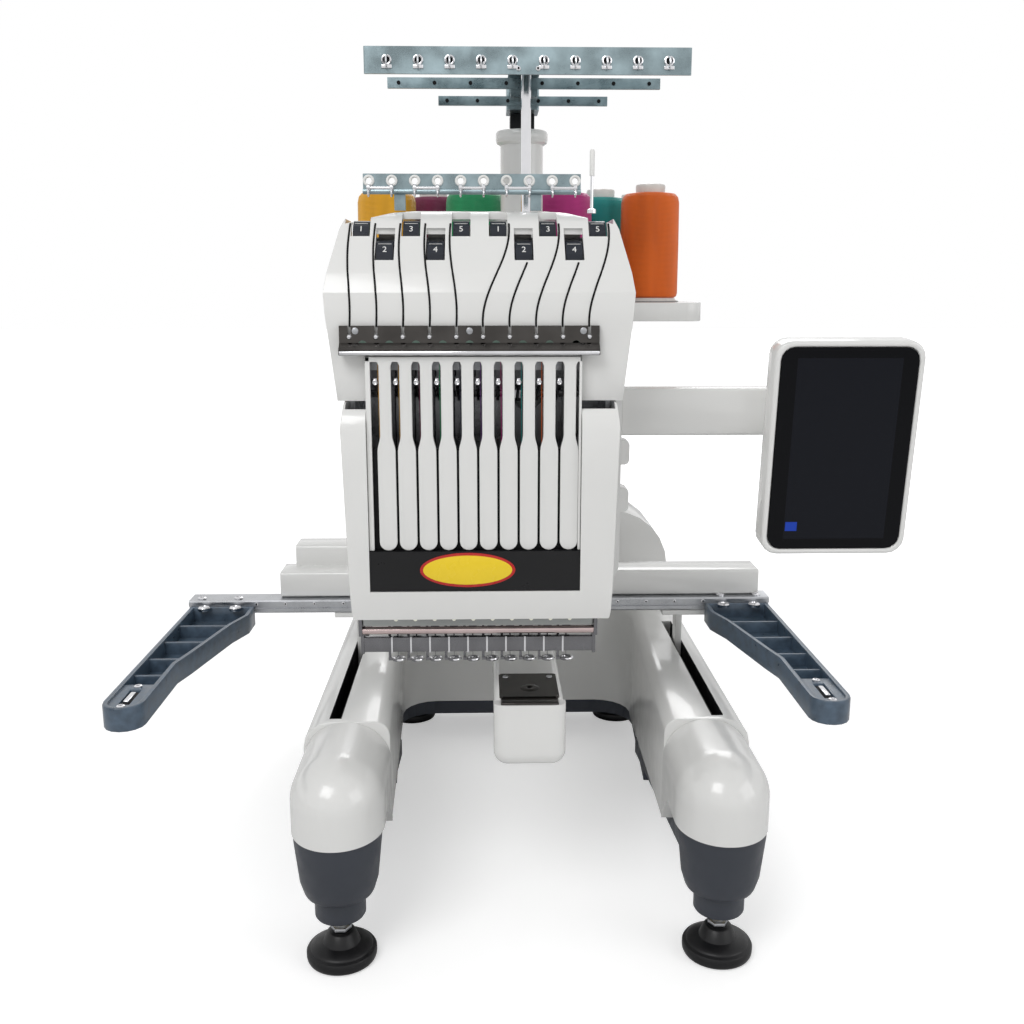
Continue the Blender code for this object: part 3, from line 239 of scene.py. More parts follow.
# %% Chrome, zinc, brass and painted castings
def metal(name, colour, roughness, blotch=0.25, scratch=(1, 1, 30), depth=0.000012):
    finish = Finish(name, colour, roughness, 1.0)
    clouds = finish.noise(45.0, 5.0).spread(0.3, 0.7)
    dark = tuple(c * (1 - blotch) for c in colour)
    finish.set("Base Color", clouds.blend((*dark, 1), (*colour, 1)))
    hair = finish.noise(700.0, 2.0, scratch)
    finish.set("Roughness", (clouds * 0.5 + hair).spread(0.3, 1.1, roughness * 0.6, roughness * 1.6))
    finish.bump(hair, depth)
    return finish.material


CHROME = metal("polished_chrome", (0.74, 0.74, 0.76), 0.10, 0.10)
DARK_CHROME = metal("smoked_mirror", (0.075, 0.070, 0.066), 0.09, 0.3)
STEEL = metal("brushed_steel", (0.46, 0.47, 0.49), 0.28, 0.2, (1, 30, 30))
ZINC = metal("blue_zinc", (0.34, 0.43, 0.46), 0.30, 0.45, (1, 6, 6), 0.00003)
BRASS = metal("nut_brass", (0.62, 0.50, 0.28), 0.26, 0.3)
GUNMETAL = metal("gunmetal", (0.20, 0.20, 0.21), 0.22, 0.2)
PINK_CHROME = metal("copper_tinted_rod", (0.60, 0.48, 0.47), 0.12, 0.1)


def casting(name, colour, roughness):
    finish = Finish(name, colour, roughness, 0.0, Coat_Weight=0.2, Coat_Roughness=0.2)
    mottle = finish.noise(120.0, 4.0)
    dark = tuple(c * 0.65 for c in colour)
    finish.set("Base Color", mottle.spread(0.35, 0.65).blend((*dark, 1), (*colour, 1)))
    finish.set("Roughness", mottle.spread(0.3, 0.7, roughness * 0.8, roughness * 1.3))
    finish.bump(finish.noise(900.0, 3.0), 0.00008)
    return finish.material


CASTING = casting("arm_paint", (0.075, 0.115, 0.165), 0.34)
print("metals:", CHROME.name, ZINC.name, CASTING.name)


# %% [markdown]
# ## Finishes for the frame's own parts
# A frame part whose shape is already right keeps its mesh and only gets a material in its slots.
# The table reads like a parts list: a finish, and the parts that have it.

# %% Dress the frame
PARKED = [f"needle_unit_{n:02d}" for n in range(1, NEEDLES + 1) if n != 3]
DRESS = {
    WHITE: ("base_shell", "column_shell", "bed_arm", "y_beam", "case_front_cover", "case_upper_cover",
            "finger_comb",
            "guide_tower", "spool_tray", "screen_arm", "screen_housing", "hook_cover", "leg_cover_left",
            "leg_cover_right"),
    SLATE: ("base_tray", "main_motor"),
    BAND: ("name_band",),
    RUBBER: ("drive_belt", "foot_front_left", "foot_front_right", "foot_rear_left", "foot_rear_right"),
    DARK_CHROME: ("needle_plate", "thread_plate"),
    CHROME: ("guide_post", "take_up_lever_3", "take_up_levers_parked", "foot_rail"),
    GUNMETAL: ("needle_bar_3", "presser_foot_3", *PARKED),
    STEEL: ("case_frame", "main_shaft", "rotary_hook", "x_carriage"),
    ZINC: ("head_guide_rail", "guide_bars", "guide_plate_top"),
    CASTING: ("hoop_arm_left", "hoop_arm_right"),
    DIAL_SLATE: tuple(f"tension_dial_{i + 1:02d}" for i in range(NEEDLES)),
}


def dress(node, material):
    for slot in frame["nodes"][node].material_slots:
        slot.material = material


for finish, nodes in DRESS.items():
    for node in nodes:
        dress(node, finish)
print(sum(map(len, DRESS.values())), "frame parts dressed")


# %% [markdown]
# ## Helpers for new pieces
# A piece starts as an empty bmesh. A helper adds a rounded block, a turned shape or a flat plate to it,
# and `finish_piece` cleans it, names it, gives it a finish and lets it ride on a body.
# Several shapes may share one piece, which is how many small screws stay one object.

# %% Turn a mesh into a piece
def smooth_by_angle(bm, degrees=38):
    """Shades faces smooth, and keeps an edge sharp where it bends more than this."""
    for face in bm.faces:
        face.smooth = True
    for edge in bm.edges:
        edge.smooth = len(edge.link_faces) == 2 and edge.calc_face_angle(0) < math.radians(degrees)


def finish_piece(name, bm, body, materials, replaces=(), sharp=38):
    bmesh.ops.remove_doubles(bm, verts=bm.verts, dist=0.000005)
    bmesh.ops.recalc_face_normals(bm, faces=bm.faces)
    smooth_by_angle(bm, sharp)
    mesh = bpy.data.meshes.new(name)
    bm.to_mesh(mesh)
    bm.free()
    for material in materials if isinstance(materials, (list, tuple)) else [materials]:
        mesh.materials.append(material)
    piece = bpy.data.objects.new(name, mesh)
    bpy.context.scene.collection.objects.link(piece)
    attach(piece, body)
    if replaces:
        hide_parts(*replaces)
    return piece


# %% Rounded blocks, turned shapes and plates
def round_edges(bm, edges, radius, segments=3):
    bmesh.ops.bevel(bm, geom=edges, offset=radius, offset_type="OFFSET", affect="EDGES", segments=segments,
                    profile=0.5, material=-1, clamp_overlap=True)


def add_block(bm, low, high, radius=0.0, slot=0, segments=3, turn=None):
    """A block between two corners, with its edges rounded."""
    low, high = Vector(low), Vector(high)
    part = bmesh.new()
    bmesh.ops.create_cube(part, size=1)
    bmesh.ops.scale(part, vec=high - low, verts=part.verts)
    if radius:
        round_edges(part, part.edges[:], radius, segments)
    if turn:
        bmesh.ops.transform(part, matrix=turn, verts=part.verts)
    bmesh.ops.translate(part, vec=(low + high) / 2, verts=part.verts)
    pour(bm, part, slot)


def pour(bm, part, slot=0):
    """Moves a finished part into the piece it belongs to."""
    for face in part.faces:
        face.material_index = slot
    bmesh.ops.recalc_face_normals(part, faces=part.faces)
    mesh = bpy.data.meshes.new("part")
    part.to_mesh(mesh)
    part.free()
    bm.from_mesh(mesh)
    bpy.data.meshes.remove(mesh)


FACE_FRONT, FACE_BACK = (Matrix.Rotation(math.radians(angle), 4, "X") for angle in (90, -90))
UPRIGHT = Matrix.Identity(4)
TURNS = {"X": Matrix.Rotation(math.radians(90), 4, "Y"), "Y": FACE_BACK, "Z": UPRIGHT}
SIDES = {"X": Matrix(((0, 0, 1, 0), (1, 0, 0, 0), (0, 1, 0, 0), (0, 0, 0, 1))), "Y": FACE_FRONT, "Z": UPRIGHT}


def add_turned(bm, profile, place, axis="Z", steps=32, slot=0, turn=None):
    """Spins a profile of (radius, height) points round an axis through a place."""
    part = bmesh.new()
    points = [part.verts.new((radius, 0, height)) for radius, height in profile]
    edges = [part.edges.new(pair) for pair in zip(points, points[1:])]
    bmesh.ops.spin(part, geom=points + edges, cent=(0, 0, 0), axis=(0, 0, 1), angle=math.tau, steps=steps,
                   use_merge=True)
    bmesh.ops.remove_doubles(part, verts=part.verts, dist=0.000002)
    matrix = Matrix.Translation(place) @ (turn or TURNS[axis])
    bmesh.ops.transform(part, matrix=matrix, verts=part.verts)
    pour(bm, part, slot)


def add_plate(bm, outline, thickness, place, axis="Z", radius=0.0, slot=0, segments=2, turn=None):
    """A flat outline of (across, up) points pulled to a thickness, its rims rounded."""
    part = bmesh.new()
    face = part.faces.new([part.verts.new((a, b, 0)) for a, b in outline])
    pulled = bmesh.ops.extrude_face_region(part, geom=[face])
    tops = [item for item in pulled["geom"] if isinstance(item, bmesh.types.BMVert)]
    bmesh.ops.translate(part, vec=(0, 0, thickness), verts=tops)
    bmesh.ops.recalc_face_normals(part, faces=part.faces)
    if radius:
        rims = [edge for edge in part.edges if abs(edge.verts[0].co.z - edge.verts[1].co.z) < 1e-7]
        round_edges(part, rims, radius, segments)
    bmesh.ops.transform(part, matrix=Matrix.Translation(place) @ (turn or SIDES[axis]), verts=part.verts)
    pour(bm, part, slot)


def disc(radius, height, edge):
    """The profile of a disc whose top edge is rounded."""
    return [(0, 0), (radius, 0), (radius, height - edge), (radius - edge * 0.3, height - edge * 0.3),
            (radius - edge, height), (0, height)]


def pin(radius, length, low=0):
    """The profile of a plain pin or a flat disc."""
    return [(0, low), (radius, low), (radius, length), (0, length)]


def ring(radius, wire, steps=8):
    """The profile of a ring of round wire."""
    return [(radius + wire * math.cos(math.tau * i / steps), wire * math.sin(math.tau * i / steps))
            for i in range(steps + 1)]


def rounded_rectangle(width, height, radius, steps=6):
    """The outline of a rectangle with round corners, about its centre."""
    points = []
    for quarter, (sx, sy) in enumerate(((1, 1), (-1, 1), (-1, -1), (1, -1))):
        for i in range(steps + 1):
            angle = math.radians(90 * (quarter + i / steps))
            points.append((sx * (width / 2 - radius) + radius * math.cos(angle),
                           sy * (height / 2 - radius) + radius * math.sin(angle)))
    return points


def add_wire(name, points, radius, body, material, smooth=True, sides=3):
    """A wire or thread along points, as a curve that is then made a mesh."""
    curve = bpy.data.curves.new(name, "CURVE")
    curve.dimensions, curve.resolution_u, curve.use_fill_caps = "3D", 6, True
    curve.bevel_depth, curve.bevel_resolution = radius, sides
    line = curve.splines.new("BEZIER" if smooth else "POLY")
    spots = line.bezier_points if smooth else line.points
    spots.add(len(points) - 1)
    for spot, point in zip(spots, points):
        spot.co = point if smooth else (*point, 1)
        if smooth:
            spot.handle_left_type = spot.handle_right_type = "AUTO"
    holder = bpy.data.objects.new(name + "_line", curve)
    mesh = bpy.data.meshes.new_from_object(holder)
    bpy.data.objects.remove(holder)
    bpy.data.curves.remove(curve)
    bm = bmesh.new()
    bm.from_mesh(mesh)
    bpy.data.meshes.remove(mesh)
    return finish_piece(name, bm, body, material, sharp=60)


print("helpers are ready")


# %% [markdown]
# ## Softer mouldings
# A moulded cover never has a knife edge: its corners are rounded by a few millimetres, and that is where the
# light catches.
# The frame's covers are exact but crisp, so each one gets a copy whose doubled points are merged, whose flat
# triangles are joined back into whole faces, and whose sharp edges are then bevelled round.

# %% Round the edges of a frame part's copy
def copy_of(node):
    """The frame part's mesh, merged, with its flat faces whole again."""
    bm = bmesh.new()
    bm.from_mesh(frame["nodes"][node].data)
    bmesh.ops.remove_doubles(bm, verts=bm.verts, dist=0.00002)
    bmesh.ops.dissolve_limit(bm, angle_limit=math.radians(1.0), use_dissolve_boundaries=False, verts=bm.verts,
                             edges=bm.edges, delimit=set())
    bmesh.ops.recalc_face_normals(bm, faces=bm.faces)
    return bm


def bend(edge):
    """How far an edge turns, in degrees, and positive where it stands out."""
    return math.degrees(edge.calc_face_angle_signed(0)) if len(edge.link_faces) == 2 else 0


def soften(node, radius, body, material, segments=3, least=35, wanted=None, rounder=()):
    """Replaces a node by its rounded copy. `rounder` lists (test, radius) pairs, done first."""
    bm = copy_of(node)
    for test, large in rounder:
        chosen = [edge for edge in bm.edges if bend(edge) > 20 and test(edge)]
        if chosen:
            round_edges(bm, chosen, large, 6)
    chosen = [edge for edge in bm.edges if bend(edge) > least and (wanted is None or wanted(edge))]
    round_edges(bm, chosen, radius, segments)
    bmesh.ops.triangulate(bm, faces=[face for face in bm.faces if len(face.verts) > 4])
    piece = finish_piece(node + "_soft", bm, body, material, replaces=[node], sharp=50)
    print(f"{node}: {len(chosen)} edges rounded, {len(piece.data.polygons)} faces")
    return piece


# %% [markdown]
# The large roundings come first, edge by edge: the legs have broad shoulders, and the lower cover's
# front corners are rounded like a jar's. A test on the edge's ends picks them.

# %% Which edges get a large rounding
def all_ends(edge, test):
    return all(test(vert.co) for vert in edge.verts)


BASE = Box("base_shell")
LEG_X = (Box("leg_cover_right").middle.x - Box("leg_cover_left").middle.x) / 2
MIDDLE_X = (Box("leg_cover_right").middle.x + Box("leg_cover_left").middle.x) / 2
SLOT_X_OFFSET = LEG_X + 0.011


def leg_shoulder(edge):
    """The long top edges of the legs, but not the mouths of the beam's slots."""
    return all_ends(edge, lambda co: co.z > BASE.high.z - 0.0005 and co.y < BASE.high.y - 0.02
                    and abs(abs(co.x - MIDDLE_X) - SLOT_X_OFFSET) > 0.008)


def lower_corner(edge):
    return all_ends(edge,
                    lambda co: co.y < LOWER.low.y + 0.012 and abs(co.x - CASE_X) > LOWER.size.x / 2 - 0.007)


def upper_corner(edge):
    return all_ends(edge,
                    lambda co: co.y < UPPER.low.y + 0.1 and abs(co.x - CASE_X) > UPPER.size.x / 2 - 0.0135
                    and co.z > UPPER.low.z + 0.001)


LARGE = {"base_shell": [(leg_shoulder, 0.013)], "case_front_cover": [(lower_corner, 0.010)],
         "case_upper_cover": [(upper_corner, 0.0045)]}

# %% Soften every white cover
SOFT = {}
for node, radius, body in (("column_shell", 0.004, "base"), ("y_beam", 0.0025, "beam"),
                           ("case_front_cover", 0.002, "needle_case"),
                           ("case_upper_cover", 0.0016, "needle_case"),
                           ("spool_tray", 0.003, "base"), ("screen_arm", 0.002, "base"),
                           ("screen_housing", 0.003, "screen"), ("bed_arm", 0.0015, "base"),
                           ("guide_tower", 0.001, "base"),
                           ("base_shell", 0.002, "base")):
    SOFT[node] = soften(node, radius, body, WHITE, rounder=LARGE.get(node, ()))


# %% [markdown]
# ## The leg ends
# Each leg ends in a domed white cap, like the toe of a shoe, over a grey tapered sleeve.
# A cube cut into a fine grid is pulled onto a rounded box: every point outside the inner box
# moves to the ellipsoid round its nearest inner corner. Different radii per direction give the toe its shape.

# %% A rounded box with its own radius each way
def add_pebble(bm, low, high, radii, keep_flat=(), cuts=22, slot=0):
    """A box pulled onto round corners. `keep_flat` names sides, such as "+y", that stay flat to the edge."""
    low, high, radii = Vector(low), Vector(high), Vector(radii)
    part = bmesh.new()
    bmesh.ops.create_cube(part, size=1)
    bmesh.ops.subdivide_edges(part, edges=part.edges[:], cuts=cuts, use_grid_fill=True)
    bmesh.ops.scale(part, vec=high - low, verts=part.verts)
    bmesh.ops.translate(part, vec=(low + high) / 2, verts=part.verts)
    for vert in part.verts:
        away = Vector()
        for i, axis in enumerate("xyz"):
            inner_low = low[i] if "-" + axis in keep_flat else low[i] + radii[i]
            inner_high = high[i] if "+" + axis in keep_flat else high[i] - radii[i]
            away[i] = (vert.co[i] - min(max(vert.co[i], inner_low), inner_high)) / radii[i]
        if away.length > 1:
            for i in range(3):
                vert.co[i] += away[i] * radii[i] * (1 / away.length - 1)
        elif away.length > 0:
            strongest = max(abs(a) for a in away)
            for i in range(3):
                vert.co[i] += away[i] * radii[i] * (strongest / away.length - 1)
    pour(bm, part, slot)


# %% The two toe caps
SLEEVE_TOP = 0.1178
for side in ("left", "right"):
    node = "leg_cover_" + side
    leg = Box(node)
    toe = bmesh.new()
    add_pebble(toe, leg.low, (leg.high.x, leg.high.y, leg.high.z), (0.0385, 0.044, 0.036), ("+y", "-z"), 26)
    heel = leg.low.y + 0.083
    for vert in toe.verts:
        slope = (vert.co.y - heel) / (leg.high.y - heel)
        lowest = SLEEVE_TOP - max(0.0, slope) * (SLEEVE_TOP - leg.low.z)
        vert.co.z = max(vert.co.z, lowest)
    finish_piece(f"toe_cap_{side}", toe, "base", WHITE, replaces=[node], sharp=45)
print("toe caps are", round(leg.size.x * 1000), "mm wide")


# %% [markdown]
# ## The feet
# Below each front leg hangs a grey sleeve, then a locknut, a threaded stem and a black conical pad.
# All of them are round, so one profile spun about the foot's axis makes each one. The thread is a zigzag
# profile.

# %% Feet from profiles
def hexagon(radius):
    return [(radius * math.cos(math.radians(60 * i)),
             radius * math.sin(math.radians(60 * i))) for i in range(6)]


def thread_profile(radius, low, high, pitch=0.0015):
    """A zigzag from low to high, which spins into what looks like a screw thread."""
    turns = int((high - low) / pitch)
    points = [(0, low)]
    for i in range(turns):
        points += [(radius * 0.86, low + i * pitch), (radius, low + (i + 0.5) * pitch)]
    return points + [(radius * 0.86, high), (0, high)]


def pad_profile(top):
    return [(0, 0.0), (0.0275, 0.0), (0.0287, 0.0006), (0.0295, 0.0022), (0.0298, 0.004), (0.0298, 0.0080),
            (0.0290, 0.0094), (0.0265, 0.0104), (0.0262, 0.0112), (0.0250, 0.0120), (0.0225, 0.0133),
            (0.0160, 0.0150),
            (0.0120, top - 0.0015), (0.0100, top), (0, top)]


for node in ("foot_front_left", "foot_front_right", "foot_rear_left", "foot_rear_right"):
    foot = Box(node)
    spot = (foot.middle.x, foot.middle.y, 0)
    front = "front" in node
    nut = foot.high.z - (0.0225 if front else 0.0145)
    bm = bmesh.new()
    add_turned(bm, pad_profile(0.0255 if front else 0.0152), spot, steps=64)
    add_turned(bm, thread_profile(0.0052, 0.0150, foot.high.z - 0.0006), spot, steps=24, slot=1)
    if front:
        add_plate(bm, hexagon(0.0085), 0.005, (spot[0], spot[1], nut), radius=0.0006, slot=2)
        add_plate(bm, hexagon(0.0088), 0.0035, (spot[0], spot[1], 0.0262), radius=0.0006, slot=1)
    finish_piece(node + "_turned", bm, node, [RUBBER, STEEL, BRASS], replaces=[node])

print("feet are turned")

# %% The grey sleeves, a skin over the frame's faceted ones
SLEEVE_SKIN = [(0.0183, 0.0408), (0.0205, 0.0410), (0.0214, 0.0425), (0.0215, 0.0585), (0.0218, 0.0600),
               (0.0286, 0.0632), (0.0298, 0.0655), (0.0330, 0.0760), (0.0368, 0.1120), (0.0368, 0.1172),
               (0.0340, 0.1172), (0.0183, 0.0600), (0.0183, 0.0408)]
for side in ("left", "right"):
    foot = Box("foot_front_" + side)
    bm = bmesh.new()
    add_turned(bm, SLEEVE_SKIN, (foot.middle.x, foot.middle.y, 0), steps=64)
    finish_piece(f"sleeve_skin_{side}", bm, "base", SLATE)


# %% [markdown]
# ## The thread cones
# Rayon embroidery thread is wound on white cones in a fine cross-hatch, and it shines in a broad band like
# silk.
# The winding is two sets of stripes in the angle and the height, made from sines, that feed the bump
# and lighten the colour. Anisotropy stretches the shine round the cone, as wound thread does.

# %% Wound thread, one finish per colour
def thread(name, colour, centre):
    finish = Finish("thread_" + name, colour, 0.38, 0.0, Sheen_Weight=0.06, Sheen_Roughness=0.4,
                    Anisotropic=0.5,
                    Specular_IOR_Level=0.35)
    x, y = finish.x - centre[0], finish.y - centre[1]
    angle = finish.start.maths("ARCTAN2", y, x)
    rising = (finish.z * 5200.0 + angle * 3.0).wave()
    falling = (finish.z * 5200.0 - angle * 3.0).wave()
    strands = (finish.z * 14000.0 + angle * 2.0).wave()
    bands = finish.noise(16.0, 2.0, (3.0, 3.0, 0.4))
    weave = rising * 0.5 + falling * 0.5
    dark = tuple(c * 0.72 for c in colour)
    light = tuple(min(1.0, c * 1.18 + 0.004) for c in colour)
    finish.set("Base Color", (weave * 0.22 + bands).spread(0.25, 0.85).blend((*dark, 1), (*light, 1)))
    finish.set("Roughness", (strands * 0.3 + bands).spread(0.1, 0.9, 0.26, 0.5))
    finish.bump(weave + strands * 0.5, 0.00012)
    return finish.material


CONES = Box("thread_cones")
CONE_R = 0.031
COLOURS = {"amber": (0.90, 0.42, 0.015), "green": (0.012, 0.30, 0.11), "magenta": (0.55, 0.035, 0.24),
           "orange": (0.93, 0.150, 0.004), "plum": (0.17, 0.012, 0.06), "navy": (0.015, 0.02, 0.05),
           "teal": (0.01, 0.32, 0.30), "gold": (0.72, 0.36, 0.02), "violet": (0.13, 0.02, 0.22),
           "black": (0.010, 0.010, 0.012)}
ROWS = [(0, (0, 1 / 3, 2 / 3, 1), ("amber", "green", "magenta", "orange")),
        (1 / 2, (1 / 6, 1 / 2, 5 / 6), ("plum", "navy", "teal")),
        (1, (0, 1 / 2, 1), ("gold", "violet", "black"))]


def cone_places():
    """Each cone's colour, and where its axis stands on the tray."""
    for depth, columns, colours in ROWS:
        for across, colour in zip(columns, colours):
            yield colour, (CONES.low.x + CONE_R + across * (CONES.size.x - 2 * CONE_R),
                           CONES.low.y + CONE_R + depth * (CONES.size.y - 2 * CONE_R), 0)


# %% Wind the ten cones
FOOT_Z, TOP_Z = CONES.low.z, CONES.high.z
BODY_LOW, BODY_HIGH = FOOT_Z + 0.004, TOP_Z - 0.009


def wound_profile():
    """The thread's outline: a slight taper, with rolled shoulders at both ends."""
    middle = (BODY_LOW + BODY_HIGH) / 2
    return [(0.012, BODY_LOW), (CONE_R - 0.004, BODY_LOW), (CONE_R - 0.0012, BODY_LOW + 0.0018),
            (CONE_R - 0.0002, BODY_LOW + 0.005), (CONE_R - 0.0003, middle),
            (CONE_R - 0.0008, BODY_HIGH - 0.010),
            (CONE_R - 0.0020, BODY_HIGH - 0.0045), (CONE_R - 0.0050, BODY_HIGH - 0.0012),
            (CONE_R - 0.0120, BODY_HIGH), (0.012, BODY_HIGH)]


CORE_FOOT = [(0, FOOT_Z + 0.0002), (CONE_R - 0.0015, FOOT_Z + 0.0002), (CONE_R - 0.0010, FOOT_Z + 0.0012),
             (CONE_R - 0.0030, BODY_LOW + 0.0002), (0, BODY_LOW + 0.0002)]
CORE_CAP = [(0, BODY_HIGH - 0.001), (0.0150, BODY_HIGH - 0.001), (0.0155, TOP_Z - 0.0025),
            (0.0148, TOP_Z - 0.0008),
            (0.0125, TOP_Z - 0.0002), (0.0088, TOP_Z - 0.0006), (0.0070, TOP_Z - 0.0050), (0, TOP_Z - 0.0052)]
for colour, place in cone_places():
    bm = bmesh.new()
    add_turned(bm, wound_profile(), place, steps=72)
    add_turned(bm, CORE_FOOT, place, steps=48, slot=1)
    add_turned(bm, CORE_CAP, place, steps=48, slot=1)
    finish_piece(f"cone_{colour}", bm, "base", [thread(colour, COLOURS[colour], place), WARM_WHITE],
                 replaces=["thread_cones"])
print(len(COLOURS), "cones wound")


# %% [markdown]
# ## The upper cover
# Ten dark channels run down the cover, one per thread, from a tension dial to a notch in the mirror plate.
# They are grooves, and the shade in each is painted as a dark cord laid half into the surface.
# A ray sent at the cover from the front tells how far back its surface lies at each height.

# %% Feel for a cover's surface
from mathutils.bvhtree import BVHTree


def surface_of(piece):
    bm = bmesh.new()
    bm.from_mesh(piece.data)
    tree = BVHTree.FromBMesh(bm)
    bm.free()
    return tree


UPPER_SKIN = surface_of(SOFT["case_upper_cover"])


def front_at(tree, x, z):
    """The Y of the first surface met from the front, or None past its edge."""
    hit = tree.ray_cast(Vector((x, -1, z)), Vector((0, 1, 0)))[0]
    return hit.y if hit else None


# %% Lay the ten channels
PLATE = Box("thread_plate")
PLATE_X = PLATE.middle.x
NOTCH = 0.0206
COVER_EDGE_Z = 0.6105
CHANNEL_STEPS = 18


def channel_points(k):
    """From a notch up to its dial's edge in a lazy S, stopping where the cover turns away."""
    side = -1 if k < HALF_WAY else 1
    start, end = PLATE_X + (k - HALF_WAY) * NOTCH, DIALS[k].middle.x + side * 0.0085
    points = []
    for step in range(CHANNEL_STEPS + 1):
        t = step / CHANNEL_STEPS
        z = PLATE.high.z - 0.001 + t * (COVER_EDGE_Z - PLATE.high.z)
        ease = t * t * (3 - 2 * t)
        x = start + (end - start) * ease + math.sin(t * math.tau) * -0.0009 * side
        y = front_at(UPPER_SKIN, x, z)
        if y is None or y > UPPER.low.y + 0.075 or (points and abs(y - points[-1][1]) > 0.008):
            break
        points.append((x, y + 0.0001, z))
    return points


for k in range(NEEDLES):
    run = channel_points(k)
    if len(run) > 3:
        # Each channel's dark cord is painted shade in its groove.
        add_wire(f"channel_{k + 1:02d}", run, 0.00085, "needle_case", SHADOW, sides=2)
print("channels laid, the first with", len(channel_points(0)), "points")

# %% [markdown]
# ## The tension dials
# Each dial is a slate wheel with a printed number and a white index line, and it turns on its axle.
# The numbers are text made into a mesh, laid on the front of the wheel and lifted by a hair.
# A white bed behind each wheel closes the view through its window.

# %% Numbers, lines and beds
WHEEL_TILT, LINE_ABOVE = 90 - 36, 22
UPPER_ROW_Z, LOWER_BED_TOP = 0.585, 0.606
INK = moulded("white_ink", (0.82, 0.82, 0.80), 0.45, 3000.0, 0.00001, 0.02)
for i, dial in enumerate(DIALS):
    centre, radius = dial.middle, dial.size.z / 2
    tilt = Matrix.Rotation(math.radians(WHEEL_TILT), 4, "X")
    number = bpy.data.curves.new(f"number_{i + 1:02d}", "FONT")
    number.body, number.size, number.extrude = str(i % 5 + 1), 0.0075, 0.00010
    number.align_x, number.align_y = "CENTER", "CENTER"
    holder = bpy.data.objects.new("number", number)
    ink = bmesh.new()
    letters = bpy.data.meshes.new_from_object(holder)
    ink.from_mesh(letters)
    bpy.data.objects.remove(holder)
    bpy.data.meshes.remove(letters)
    bmesh.ops.translate(ink, verts=ink.verts, vec=(0, 0, radius + 0.00002))
    bmesh.ops.transform(ink, matrix=Matrix.Translation(centre) @ tilt, verts=ink.verts)
    line = bmesh.new()
    add_block(line, (-0.0052, -0.00025, -0.0001), (0.0052, 0.00025, 0.0001))
    lift = Matrix.Translation((0, 0, radius + 0.00012))
    above = Matrix.Rotation(math.radians(WHEEL_TILT - LINE_ABOVE), 4, "X") @ lift
    bmesh.ops.transform(line, matrix=Matrix.Translation(centre) @ above, verts=line.verts)
    pour(ink, line)
    finish_piece(f"dial_number_{i + 1:02d}", ink, f"dial_{i + 1:02d}", INK)

beds = bmesh.new()
for dial in DIALS:
    left, right, back = dial.low.x - 0.0008, dial.high.x + 0.0008, dial.high.y + 0.0006
    top = COVER_EDGE_Z if dial.middle.z > UPPER_ROW_Z else LOWER_BED_TOP
    add_block(beds, (left, back, dial.low.z + 0.004), (right, back + 0.0025, top), 0.0004)
finish_piece("dial_beds", beds, "needle_case", WARM_WHITE)
print("dials numbered:", len(DIALS))

# %% [markdown]
# ## The fingers
# White fingers stand between the take-up slots, broad below and narrower above, where the levers show.
# One outline with a round lower end is pulled to a thickness ten times, and a dark strip behind them paints
# the shade in the gaps.

# %% Ten fingers, their header and the dark strip
SLOT_X = [Box("take_up_lever_3").middle.x + (k - 7) * PITCH for k in range(NEEDLES)]
SHOULDER, SLOT_TOP = 0.441, 0.5035
BROAD, NARROW = (PITCH - 0.0018) / 2, (PITCH - 0.0066) / 2


def finger_outline(centre):
    """Round at the bottom, straight up, then drawn in at the shoulder."""
    low = COMB.low.z
    points = [(BROAD * math.cos(math.radians(a)), low + BROAD + BROAD * math.sin(math.radians(a)))
              for a in range(180, 361, 15)]
    points += [(BROAD, SHOULDER - 0.007), (BROAD - 0.0004, SHOULDER - 0.004),
               (NARROW + 0.0004, SHOULDER + 0.002),
               (NARROW, SHOULDER + 0.005), (NARROW, SLOT_TOP - 0.0030), (NARROW + 0.0010, SLOT_TOP - 0.0006),
               (NARROW + 0.0032, SLOT_TOP + 0.0015)]
    points += [(-x, z) for x, z in points[:-8:-1]]
    return [(centre + x, z) for x, z in points]


fingers = bmesh.new()
for k in range(NEEDLES):
    add_plate(fingers, finger_outline(SLOT_X[k] + PITCH / 2), COMB.size.y, (0, COMB.high.y, 0), "Y", 0.0009)
add_block(fingers, (COMB.low.x, COMB.low.y, SLOT_TOP), (COMB.high.x, COMB.high.y, COMB.high.z), 0.0006)
add_block(fingers, (COMB.low.x, COMB.low.y, COMB.low.z), (SLOT_X[0] - 0.0033, COMB.high.y, COMB.high.z),
          0.0006)
add_block(fingers, (SLOT_X[-1] + PITCH - 0.0008, COMB.low.y, COMB.low.z),
          (COMB.high.x, COMB.high.y, COMB.high.z), 0.0006)
# The dark strip is painted shade in the narrow gaps between the fingers.
add_block(fingers, (COMB.low.x + 0.001, COMB.high.y - 0.0016, COMB.low.z + 0.0002),
          (COMB.high.x - 0.001, COMB.high.y - 0.0004, SHOULDER - 0.006), 0.0002, slot=1)
finish_piece("fingers", fingers, "needle_case", [WHITE, SHADOW], replaces=["finger_comb"])
print("finger width in mm:", round(BROAD * 2000, 1))

# %% [markdown]
# ## The mirror plate
# A dark mirror runs across the case. Its lower edge is rolled into a lip of bright chrome, a painted
# highlight along that rolled edge, and it has ten notches with a bead, ten half-moon windows and three
# screws. The windows are set in as dark green discs cut in half.

# %% Lip, windows, beads and screws
def half_moon(radius, steps=10):
    return [(radius * math.cos(math.pi * i / steps),
             radius * math.sin(math.pi * i / steps)) for i in range(steps + 1)]


